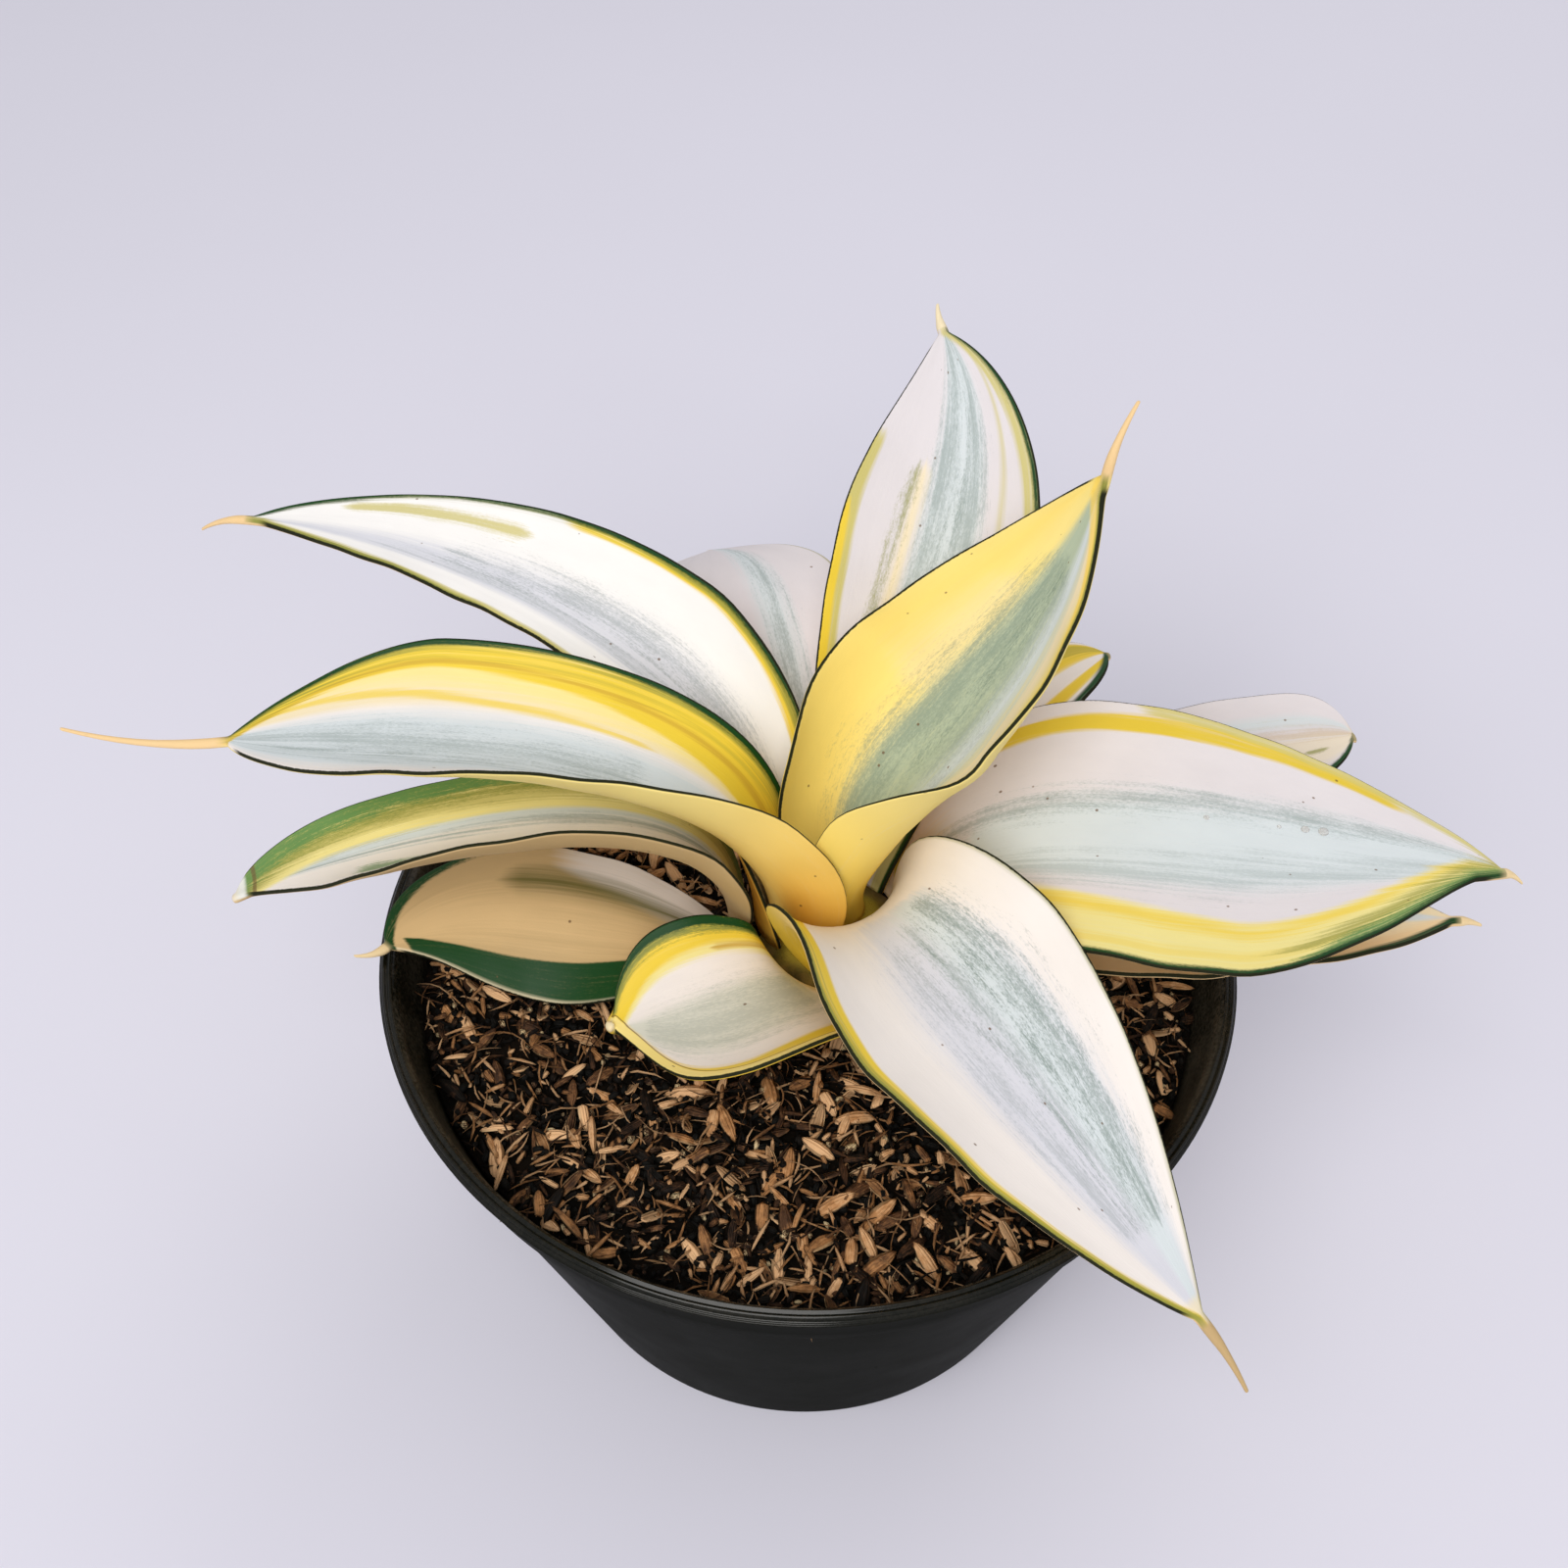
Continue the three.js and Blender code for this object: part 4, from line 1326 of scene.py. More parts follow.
                stripe(Paint.SAGE, (0.0, 0.25, 0.3), (0.04, 0.3, 0.22), softness=0.3, strength=0.45,
                       start=0.1, flecks=0.15),
                stripe(Paint.SLATE, (0.0, 0.25, 0.3), (0.03, 0.16, 0.12), softness=0.6, strength=0.25,
                       flecks=0.9, start=0.15, end=0.93),
                edging(Paint.LEMON, Measure.FROM_RIGHT, (4.0, 7.5, 8.0), softness=1.6, streaks=0.4),
                edging(Paint.YELLOW, Measure.FROM_RIGHT, (2.5, 5.5, 7.0), softness=1.4, streaks=0.5),
                stripe(Paint.OCHRE, (-0.6, -0.58, -0.45), (0.03, 0.03, 0.03), end=0.6, streaks=0.8,
                       strength=0.8),
                edging(Paint.OLIVE, Measure.FROM_RIGHT, (1.6, 3.2, 2.2), softness=1.4, streaks=0.8,
                       flecks=0.5),
                edging(Paint.FOREST, Measure.FROM_RIGHT, (0.9, 2.0, 0.8), streaks=0.6, flecks=0.5),
                edging(Paint.YELLOW, Measure.FROM_LEFT, (15.0, 5.2, 3.4), softness=2.0, streaks=0.4),
                stripe(Paint.BARK, (2.0, 2.6, 3.2), (0.16, 0.16, 0.16), measure=Measure.FROM_LEFT,
                       softness=0.3, streaks=0.1, start=0.2, strength=0.85),
                edging(Paint.BUTTER, Measure.FROM_LEFT, (1.8, 2.3, 2.9), softness=0.4, streaks=0.2,
                       start=0.2),
            ),
        ),
    ),
    Leaf(
        "leaf_under_right", "leaf_tan",
        LeafForm(
            root=(-14, 19, 77.5), third=(42, -2, 90), two_thirds=(77, -4, 95), tip=(112, -1, 93),
            spine=(116, -1, 92), left=(7, 17, 0.45, 1.8, 1), right=(8, 17, 0.45, 1.8, 1),
            cup=(25, 50, 50, 35), turn=(0, 6, 0),
        ),
        LeafFinish(
            ground=Paint.CREAM, seed=11,
            stripes=(
                stripe(Paint.ICE, (0.3, 0.3, 0.0), (0.2, 0.25, 0.2), softness=0.2),
                edging(Paint.PEACH, Measure.FROM_RIGHT, (9.0, 6.0, 2.0), softness=3.0, strength=0.7),
                edging(Paint.FOREST, Measure.FROM_RIGHT, (0.4, 0.5, 1.2), streaks=0.5),
            ),
        ),
    ),
    Leaf(
        "leaf_back_right", "leaf_cream",
        LeafForm(
            root=(18, 20, 77.5), third=(46, 28, 89), two_thirds=(74, 37, 93), tip=(101, 41, 95), spine=None,
            left=(5, 12, 0.8, 4, 0.6), right=(6, 13, 0.7, 3, 0.7), cup=(20, 25, 20, 15),
        ),
        LeafFinish(
            # Painted shade: the pearl ground is white dimmed for shade.
            ground=Paint.PEARL_IN_SHADE, seed=12,
            stripes=(
                stripe(Paint.CREAM, (-0.4, -0.4, -0.3), (0.3, 0.4, 0.4), softness=0.4, strength=0.6),
                stripe(Paint.ICE, (0.3, 0.4, 0.4), (0.1, 0.12, 0.1), softness=0.3, flecks=0.1),
                stripe(Paint.TAN, (0.0, 0.1, 0.1), (0.05, 0.1, 0.1), softness=0.3, streaks=0.9, flecks=0.4,
                       strength=0.4),
                edging(Paint.FOREST, Measure.FROM_RIGHT, (0.0, 0.4, 1.6), start=0.75, flecks=0.4),
                stripe(Paint.OLIVE, (-0.3, -0.3, -0.35), (0.0, 0.02, 0.06), start=0.84, end=0.98, fade=0.06,
                       streaks=0.8, flecks=0.4, strength=0.8),
            ),
        ),
    ),
    Leaf(
        "leaf_back_right_short", "leaf_mixed",
        LeafForm(
            root=(52, 18, 77.5), third=(26, 28, 93), two_thirds=(41, 41, 102), tip=(55, 53, 103), spine=None,
            left=(6, 10, 0.6, 3, 0.7), right=(4.5, 8, 0.5, 3, 0.7), cup=(25, 35, 30, 25),
        ),
        LeafFinish(
            ground=Paint.BLUSH, seed=13,
            stripes=(
                stripe(Paint.YELLOW, (0.55, 0.55, 0.5), (0.35, 0.35, 0.35), softness=0.12, streaks=0.4),
                stripe(Paint.YELLOW, (-0.5, -0.5, -0.5), (0.15, 0.18, 0.18), softness=0.12, streaks=0.4),
                stripe(Paint.OLIVE, (0.7, 0.7, 0.6), (0.05, 0.1, 0.2), softness=0.2, streaks=0.8,
                       strength=0.5),
                edging(Paint.FOREST, Measure.FROM_RIGHT, (1.0, 1.0, 1.6)),
            ),
        ),
    ),
)


class Strewing(Tree):
    """A Geometry Nodes tree with named inputs, run once on a host mesh."""

    KINDS = {int: "Int", float: "Float", tuple: "Vector", bpy.types.Material: "Material",
             bpy.types.Collection: "Collection"}

    def __init__(self, name: str, inputs: dict[str, Any]) -> None:
        """Starts the tree.

        Args:
            name: its name.
            inputs: value of each named input, whose type is the input's.
        """
        group = bpy.data.node_groups.new(name, "GeometryNodeTree")
        super().__init__(group)
        group.interface.new_socket("Geometry", in_out="INPUT", socket_type="NodeSocketGeometry")
        self.values = {}
        for label, value in inputs.items():
            kind = "NodeSocket" + self.KINDS[type(value)]
            made = group.interface.new_socket(label, in_out="INPUT", socket_type=kind)
            self.values[made.identifier] = value
        group.interface.new_socket("Geometry", in_out="OUTPUT", socket_type="NodeSocketGeometry")
        self.entry = group.nodes.new("NodeGroupInput")

    def given(self, label: str) -> Signal:
        """A named input, or the host's geometry."""
        return Signal(self, self.entry.outputs[label], self.entry)

    def chance(self, low: Any, high: Any, seed: int, kind: str = "FLOAT") -> Signal:
        """A random value.

        Args:
            low: the least value.
            high: the greatest value.
            seed: number that sets it apart from the tree's other random values.
            kind: FLOAT, FLOAT_VECTOR or INT.

        Returns:
            The value, drawn anew for each element.
        """
        tail = {"FLOAT": "_001", "FLOAT_VECTOR": "", "INT": "_002"}[kind]
        sockets = {"Min" + tail: low, "Max" + tail: high, "Seed": seed}
        return self.node("FunctionNodeRandomValue", {"data_type": kind}, sockets, "Value" + tail)

    def close(self, geometry: Signal) -> None:
        """Ends the tree in plain geometry with its material set.

        Args:
            geometry: what the tree has made.
        """
        plain = self.node("GeometryNodeRealizeInstances", None, {0: geometry})
        dressed = self.node(
            "GeometryNodeSetMaterial", None, {"Geometry": plain, "Material": self.given("Material")},
        )
        self.node("NodeGroupOutput", None, {0: dressed})

    def run(self, host: bpy.types.Object) -> bpy.types.Mesh:
        """Runs the tree on a host and turns the result into a plain mesh.

        Args:
            host: the object whose mesh the tree starts from. It is left as it was.

        Returns:
            The new mesh.
        """
        modifier = host.modifiers.new(self.tree.name, "NODES")
        modifier.node_group = self.tree
        for key, value in self.values.items():
            modifier[key] = value
        bpy.context.view_layer.update()
        graph = bpy.context.evaluated_depsgraph_get()
        mesh = bpy.data.meshes.new_from_object(
            host.evaluated_get(graph), preserve_all_data_layers=True, depsgraph=graph,
        )
        host.modifiers.remove(modifier)
        return mesh


def revolve(profile: Sequence[tuple[float, float]], sides: int) -> tuple[np.ndarray, list[tuple[int, ...]]]:
    """Spins a profile round the Z axis.

    Args:
        profile: (radius, height) points from the axis at the bottom, round the outside, back to the axis.
        sides: steps round the axis.

    Returns:
        Points in millimetres, and faces.
    """
    rings = np.array(profile[1:-1])
    turn = np.linspace(0, 2 * np.pi, sides, endpoint=False)
    x = rings[:, :1] * np.cos(turn)
    y = rings[:, :1] * np.sin(turn)
    z = np.repeat(rings[:, 1:], sides, axis=1)
    poles = [(0, 0, profile[0][1]), (0, 0, profile[-1][1])]
    points = np.vstack([np.dstack([x, y, z]).reshape(-1, 3), poles])
    first, last = len(rings) * sides, len(rings) * sides + 1
    faces: list[tuple[int, ...]] = []
    for i in range(sides):
        after = (i + 1) % sides
        faces.append((first, after, i))
        top = (len(rings) - 1) * sides
        faces.append((last, top + i, top + after))
        for ring in range(len(rings) - 1):
            a, b = ring * sides + i, ring * sides + after
            faces.append((a, b, b + sides, a + sides))
    return points, faces


@dataclass(frozen=True)
class PotFinish:
    """Satin moulded plastic, dusty at the rim, dusty and brightened with painted light inside, and scuffed
    on the wall.

    The inside is where the distance from the axis, less slope times the height, is under inside.
    """

    plastic: Paint = Paint.RESIN
    dust: Paint = Paint.DUST
    slope: float = 0.282
    inside: float = 48.8

    RIM_HEIGHTS = (81.5, 84.6)
    DUST_FADE = (0.4, 0.72)
    DUST_SHARE = 0.006
    RIM_DUST = 0.05
    # Partly dust, partly painted light that brightens the inner wall.
    INNER_DUST_AND_PAINTED_LIGHT = 0.3
    WEAR_FADE = (0.66, 0.8)
    WEAR_SHARE = 0.012
    RELIEF = 0.05

    def make(self) -> bpy.types.Material:
        """Builds the material.

        Returns:
            The material.
        """
        s = Surface("nursery_pot_plastic")
        place = s.place()
        x, y, z = s.parts(place)
        cloud = s.grain(place, scale=0.045, detail=4.0, roughness=0.6)
        fine = s.grain(place, scale=1.6, detail=3.0, roughness=0.6)
        scuff = s.grain(s.vector(x * 0.9, y * 0.9, z * 0.12), scale=0.7, detail=3.0, roughness=0.7)
        rim = s.step(z, *self.RIM_HEIGHTS)
        inner = 1 - s.step((x * x + y * y) ** 0.5 - z * self.slope, self.inside, self.inside + 0.4)
        # Inside the pot the dust colour is also painted light that brightens the dark inner wall.
        share = self.DUST_SHARE + self.RIM_DUST * rim + self.INNER_DUST_AND_PAINTED_LIGHT * inner
        dust_and_painted_light = (s.step(cloud * 0.6 + fine * 0.5, *self.DUST_FADE) * share).clamped()
        colour = s.blend(dust_and_painted_light, self.plastic, self.dust)
        worn = s.step(scuff, *self.WEAR_FADE)
        return s.close({
            "Base Color": s.blend(worn * self.WEAR_SHARE, colour, self.dust),
            "Roughness": 0.34 + 0.2 * cloud + 0.12 * worn,
            "Specular IOR Level": 0.005,
            "Coat Weight": rim * 0.6,
            "Coat Roughness": 0.16,
            "Normal": s.bump(fine * 0.4 + worn * 0.2, self.RELIEF),
        })


@dataclass(frozen=True)
class Pot:
    """The round nursery pot: beaded lip, collar, tapering wall, ringed floor and drain holes."""

    height: float = 85.0
    rim_radius: float = 75.0
    rim_width: float = 2.6
    lip_height: float = 2.4
    lip_beads: int = 3
    bead_depth: float = 0.28
    collar_height: float = 12.0
    collar_step: float = 1.0
    foot_radius: float = 50.0
    wall_top_radius: float = 70.6
    wall: float = 1.6
    floor_top: float = 3.2
    channel_height: float = 1.5
    channel_inner: float = 21.0
    channel_outer: float = 43.0
    drain_count: int = 8
    drain_radius: float = 4.0
    drain_ring: float = 32.0
    sides: int = 192
    finish: PotFinish = field(default_factory=PotFinish)

    BEAD_STEPS = 8
    CREST_STEPS = 12
    WALL_STEPS = 9
    DRAIN_SIDES = 32
    SHARP_ANGLE = 40

    def wall_radius(self, height: float) -> float:
        """Outer radius of the tapering wall at a height."""
        wall_top = self.height - self.collar_height - self.collar_step
        return self.foot_radius + (self.wall_top_radius - self.foot_radius) * height / wall_top

    def inside_radius(self, height: float) -> float:
        """Radius of the pot's inside.

        Args:
            height: height above the pot's underside.

        Returns:
            The radius there, in millimetres.
        """
        low = self.wall_radius(self.floor_top) - self.wall
        high = self.rim_radius - self.rim_width
        return low + (high - low) * (height - self.floor_top) / (self.height - self.floor_top)

    def _lip(self) -> list[tuple[float, float]]:
        """Profile of the beaded lip.

        Returns:
            (radius, height) points from its lower edge over the top to the inside.
        """
        bottom = self.height - self.lip_height
        points = [(self.rim_radius - 0.9, bottom)]
        steps = self.BEAD_STEPS * self.lip_beads
        for i in range(steps + 1):
            share = i / steps
            notch = self.bead_depth * (0.5 + 0.5 * math.cos(2 * math.pi * self.lip_beads * share))
            points.append((self.rim_radius - notch, bottom + 0.15 + (self.lip_height - 0.6) * share))
        across = self.rim_width - 0.5
        for i in range(self.CREST_STEPS + 1):
            share = i / self.CREST_STEPS
            dip = 0.16 * math.cos(4 * math.pi * share) + 0.3 * (2 * share - 1) ** 6
            points.append((self.rim_radius - 0.25 - across * share, self.height - 0.16 - dip))
        points.append((self.rim_radius - self.rim_width, self.height - 0.8))
        return points

    def _profile(self) -> list[tuple[float, float]]:
        """The pot's whole profile.

        Returns:
            (radius, height) points from the axis underneath, round the outside, to the axis on the floor.
        """
        collar_bottom = self.height - self.collar_height
        step_bottom = collar_bottom - self.collar_step
        collar_radius = self.wall_radius(collar_bottom) + self.collar_step
        outer = [
            (0, 0),
            (self.channel_inner - 1, 0),
            (self.channel_inner - 0.5, 0.3),
            (self.channel_inner, self.channel_height),
            (self.channel_outer, self.channel_height),
            (self.channel_outer + 0.6, 0.3),
            (self.channel_outer + 1, 0),
            (self.foot_radius - 1, 0),
            (self.foot_radius - 0.2, 0.3),
            (self.wall_radius(1), 1),
            (self.wall_radius(2), 2),
            *((self.wall_radius(h), h) for h in np.linspace(8, step_bottom - 1, self.WALL_STEPS)),
            (self.wall_radius(step_bottom), step_bottom),
            (collar_radius - 0.3, collar_bottom - 0.15),
            (collar_radius, collar_bottom + 0.4),
            (collar_radius + 0.55, collar_bottom + 3.0),
            (self.rim_radius - 1.1, self.height - self.lip_height - 0.6),
        ]
        inner_heights = np.linspace(self.height - 3, self.floor_top + 2, self.WALL_STEPS)
        inner = [(self.inside_radius(h), h) for h in inner_heights]
        floor = [(self.inside_radius(self.floor_top) - 2, self.floor_top), (0, self.floor_top)]
        return outer + self._lip() + inner + floor

    def _piercing(self, material: bpy.types.Material) -> Strewing:
        """The tree that cuts the drain holes, equally spaced on a ring.

        Args:
            material: the pot's material.

        Returns:
            The closed tree.
        """
        t = Strewing("drain_holes", {
            "Holes": self.drain_count,
            "Ring": self.drain_ring * MM,
            "Radius": self.drain_radius * MM,
            "Turn": (0, 0, math.pi / self.drain_count),
            "Material": material,
        })
        around = {"Vertices": t.given("Holes"), "Radius": t.given("Ring")}
        ring = t.node("GeometryNodeMeshCircle", None, around)
        ring = t.node("GeometryNodeTransform", None, {"Geometry": ring, "Rotation": t.given("Turn")})
        through = 4 * self.floor_top * MM
        size = {"Vertices": self.DRAIN_SIDES, "Radius": t.given("Radius"), "Depth": through}
        punch = t.node("GeometryNodeMeshCylinder", None, size)
        punches = t.node("GeometryNodeInstanceOnPoints", None, {"Points": ring, "Instance": punch})
        cut = t.node(
            "GeometryNodeMeshBoolean",
            {"operation": "DIFFERENCE", "solver": "EXACT"},
            {"Mesh 1": t.given("Geometry"), "Mesh 2": punches},
        )
        t.close(cut)
        return t

    def make(self) -> bpy.types.Object:
        """Builds the pot.

        Returns:
            Its object.
        """
        material = self.finish.make()
        solid = make_mesh("pot_blank", *revolve(self._profile(), self.sides))
        blank = make_object("pot_blank", solid, material)
        mesh = self._piercing(material).run(blank)
        bpy.data.objects.remove(blank)
        made = make_object("nursery_pot", mesh, material)
        made.data.set_sharp_from_angle(angle=math.radians(self.SHARP_ANGLE))
        return made


@dataclass(frozen=True)
class LoamFinish:
    """Dark crumbly potting mix, with a few lighter grains."""

    loam: Paint = Paint.LOAM
    deep: Paint = Paint.LOAM_DARK
    grit: Paint = Paint.HUSK_DARK

    def make(self) -> bpy.types.Material:
        """Builds the material.

        Returns:
            The material.
        """
        s = Surface("potting_loam")
        place = s.place()
        clod = s.grain(place, scale=0.22, detail=5.0, roughness=0.65)
        crumb = s.grain(place, scale=1.1, detail=4.0, roughness=0.7)
        colour = s.blend(s.step(clod, 0.4, 0.62), self.deep, self.loam)
        colour = s.blend(s.step(crumb, 0.6, 0.75) * 0.6, colour, self.grit)
        return s.close({
            "Base Color": colour,
            "Roughness": 0.82 + 0.15 * clod,
            "Specular IOR Level": 0.06,
            "Normal": s.bump(crumb * 0.7 + clod, 0.7),
        })


@dataclass(frozen=True)
class HuskFinish:
    """Papery rice husk with fine ribs, each one paler or darker."""

    name: str
    stops: tuple[tuple[float, Paint], ...] = (
        (0.0, Paint.LOAM_DARK),
        (0.18, Paint.LOAM),
        (0.38, Paint.HUSK_DARK),
        (0.62, Paint.HUSK),
        (0.86, Paint.HUSK_PALE),
    )
    edge: Paint = Paint.STRAW
    edge_share: float = 0.35

    def make(self) -> bpy.types.Material:
        """Builds the material.

        Returns:
            The material.
        """
        s = Surface(self.name)
        along, across, inner = s.parts(s.attribute("husk"))
        shade = s.attribute("shade", "Fac")
        place = s.place()
        stain = s.grain(place, scale=0.5, detail=4.0, roughness=0.65)
        fibre = s.grain(s.vector(along * 2.5, across * 9, shade * 40), scale=1.0, detail=3.0, roughness=0.6)
        tone = (shade + (stain - 0.5) * 0.7 + (fibre - 0.5) * 0.5).clamped()
        colour = s.node("ShaderNodeValToRGB", {"stops": self.stops}, {"Fac": tone})
        rib = s.node("ShaderNodeMath", {"operation": "SINE"}, {0: across * 13})
        border = s.step(abs(across), 0.7, 0.95) * s.step(tone, 0.3, 0.6) * self.edge_share
        colour = s.blend(border, colour, self.edge)
        colour = s.blend(inner * 0.5, colour, Paint.LOAM)
        return s.close({
            "Base Color": colour,
            "Roughness": 0.55 + 0.25 * stain,
            "Specular IOR Level": 0.18,
            "Normal": s.bump(rib * 0.5 + fibre, 0.12),
        })


HOLLOW = 0.35
HUSK_STATIONS = (-0.8, -0.42, 0.0, 0.42, 0.8)
HUSK_RIM = ((-1, 0), (-0.55, 0.8), (0, 1), (0.55, 0.8), (1, 0), (0, HOLLOW))
CHIP_STATIONS = (-0.55, 0.1, 0.75)
FIBRE_STATIONS = (-0.95, -0.6, -0.25, 0.1, 0.45, 0.8)
ROUND_RIM = ((-1, 0.4), (0, 1), (1, 0.4), (0, -0.1))


@dataclass(frozen=True)
class HuskShape:
    """One kind of husk or chip: a shallow boat, with its hollow side down unless turned over.

    bow lowers its ends, sway bends them sideways, and blunt widens one end. stations are the places of its
    sections along it, and rim the outline of a section, both as shares of its sizes.
    """

    length: float
    width: float
    height: float
    bow: float = 0.0
    blunt: float = 0.0
    turned: bool = False
    sway: float = 0.0
    stations: tuple[float, ...] = HUSK_STATIONS
    rim: tuple[tuple[float, float], ...] = HUSK_RIM

    def make(self, name: str) -> bpy.types.Object:
        """Builds the husk.

        Args:
            name: its object's name.

        Returns:
            The object, linked to no collection.
        """
        stations = np.array(self.stations)
        spread = (1 - np.abs(stations) ** 2.2) ** 0.8
        spread = spread + (1 - spread) * self.blunt * (stations > 0)
        points, places = [], []
        for share, wide in zip(stations, spread):
            for y, z in self.rim:
                lift = z * self.height * (0.45 + 0.55 * wide) - self.bow * share ** 2
                swing = self.sway * share ** 2
                points.append((share * self.length / 2, y * wide * self.width / 2 + swing, lift))
                places.append((share, y, 1.0 if z == HOLLOW else 0.0))
        for end in (-1, 1):
            points.append((end * self.length / 2, self.sway, 0.2 * self.height - self.bow))
            places.append((end, 0, 0.0))
        values = np.array(points) * (1, -1, -1) if self.turned else np.array(points)
        mesh = make_mesh(name, values, tube(len(stations), len(self.rim)))
        mark(mesh, "husk", np.array(places))
        return bpy.data.objects.new(name, mesh)


def chip(*sizes: float, stations: tuple[float, ...] = CHIP_STATIONS, **more: float) -> HuskShape:
    """A thin shape without a hollow, with its length, width, height and bow in that order."""
    return HuskShape(*sizes, stations=stations, rim=ROUND_RIM, **more)


def fibre(*sizes: float, sway: float) -> HuskShape:
    """A long thin root fibre, with its sizes in the same order."""
    return chip(*sizes, sway=sway, stations=FIBRE_STATIONS)


@dataclass(frozen=True)
class Strewn:
    """One kind of loose matter strewn over the mix.

    spacing is the least distance between pieces in millimetres, and density their number per square
    millimetre. size, lift (in millimetres) and shade are ranges, and tilt is the most in degrees.
    """

    name: str
    shapes: tuple[HuskShape, ...]
    spacing: float
    density: float
    size: tuple[float, float]
    tilt: float
    lift: tuple[float, float]
    shade: tuple[float, float]
    seed: int
    finish: HuskFinish

    def _scattering(self, shapes: bpy.types.Collection, material: bpy.types.Material) -> Strewing:
        """The tree that strews shapes over a surface, by the surface's own open share.

        Args:
            shapes: the shapes' objects.
            material: their material.

        Returns:
            The closed tree.
        """
        t = Strewing("strew_" + self.name, {
            "Shapes": shapes,
            "Spacing": self.spacing * MM,
            "Density": self.density / MM ** 2,
            "Smallest": self.size[0],
            "Largest": self.size[1],
            "Tilt": math.radians(self.tilt),
            "Lowest": self.lift[0] * MM,
            "Highest": self.lift[1] * MM,
            "Darkest": self.shade[0],
            "Palest": self.shade[1],
            "Seed": self.seed,
            "Material": material,
        })
        given = t.given
        room = t.node("GeometryNodeInputNamedAttribute", {"data_type": "FLOAT"}, {"Name": "open"})
        sown = t.node(
            "GeometryNodeDistributePointsOnFaces",
            {"distribute_method": "POISSON"},
            {"Mesh": given("Geometry"), "Distance Min": given("Spacing"), "Density Max": given("Density"),
             "Density Factor": room, "Seed": given("Seed")},
        )
        lying = Signal(t, sown.owner.outputs["Rotation"], sown.owner)
        lift = t.vector(0.0, 0.0, t.chance(given("Lowest"), given("Highest"), 1))
        places = t.node("GeometryNodeSetPosition", None, {"Geometry": sown, "Offset": lift})
        lean = given("Tilt")
        lowest = t.vector(lean * -1.0, lean * -1.0, -math.pi)
        spin = t.chance(lowest, t.vector(lean, lean, math.pi), 2, "FLOAT_VECTOR")
        turned = t.node("FunctionNodeEulerToRotation", None, {0: spin})
        turned = t.node(
            "FunctionNodeRotateRotation",
            {"rotation_space": "LOCAL"},
            {"Rotation": lying, "Rotate By": turned},
        )
        kinds = t.node(
            "GeometryNodeCollectionInfo",
            None,
            {"Collection": given("Shapes"), "Separate Children": True, "Reset Children": True},
        )
        scattered = t.node(
            "GeometryNodeInstanceOnPoints",
            None,
            {"Points": places, "Instance": kinds, "Pick Instance": True, "Rotation": turned,
             "Scale": t.chance(given("Smallest"), given("Largest"), 3),
             "Instance Index": t.chance(0, 99, 5, "INT")},
        )
        shaded = t.node(
            "GeometryNodeStoreNamedAttribute",
            {"data_type": "FLOAT", "domain": "INSTANCE"},
            {"Geometry": scattered, "Name": "shade",
             "Value": t.chance(given("Darkest"), given("Palest"), 4)},
        )
        t.close(shaded)
        return t

    def make(self, bed: bpy.types.Object) -> bpy.types.Object:
        """Strews the matter.

        Args:
            bed: the surface that it lies on.

        Returns:
            The strewn matter as one object.
        """
        store = bpy.data.collections.new("shapes_" + self.name)
        for i, shape in enumerate(self.shapes):
            store.objects.link(shape.make(f"{self.name}_{i}"))
        material = self.finish.make()
        mesh = self._scattering(store, material).run(bed)
        for shape in list(store.objects):
            bpy.data.objects.remove(shape)
        bpy.data.collections.remove(store)
        return make_object(self.name, mesh, material)


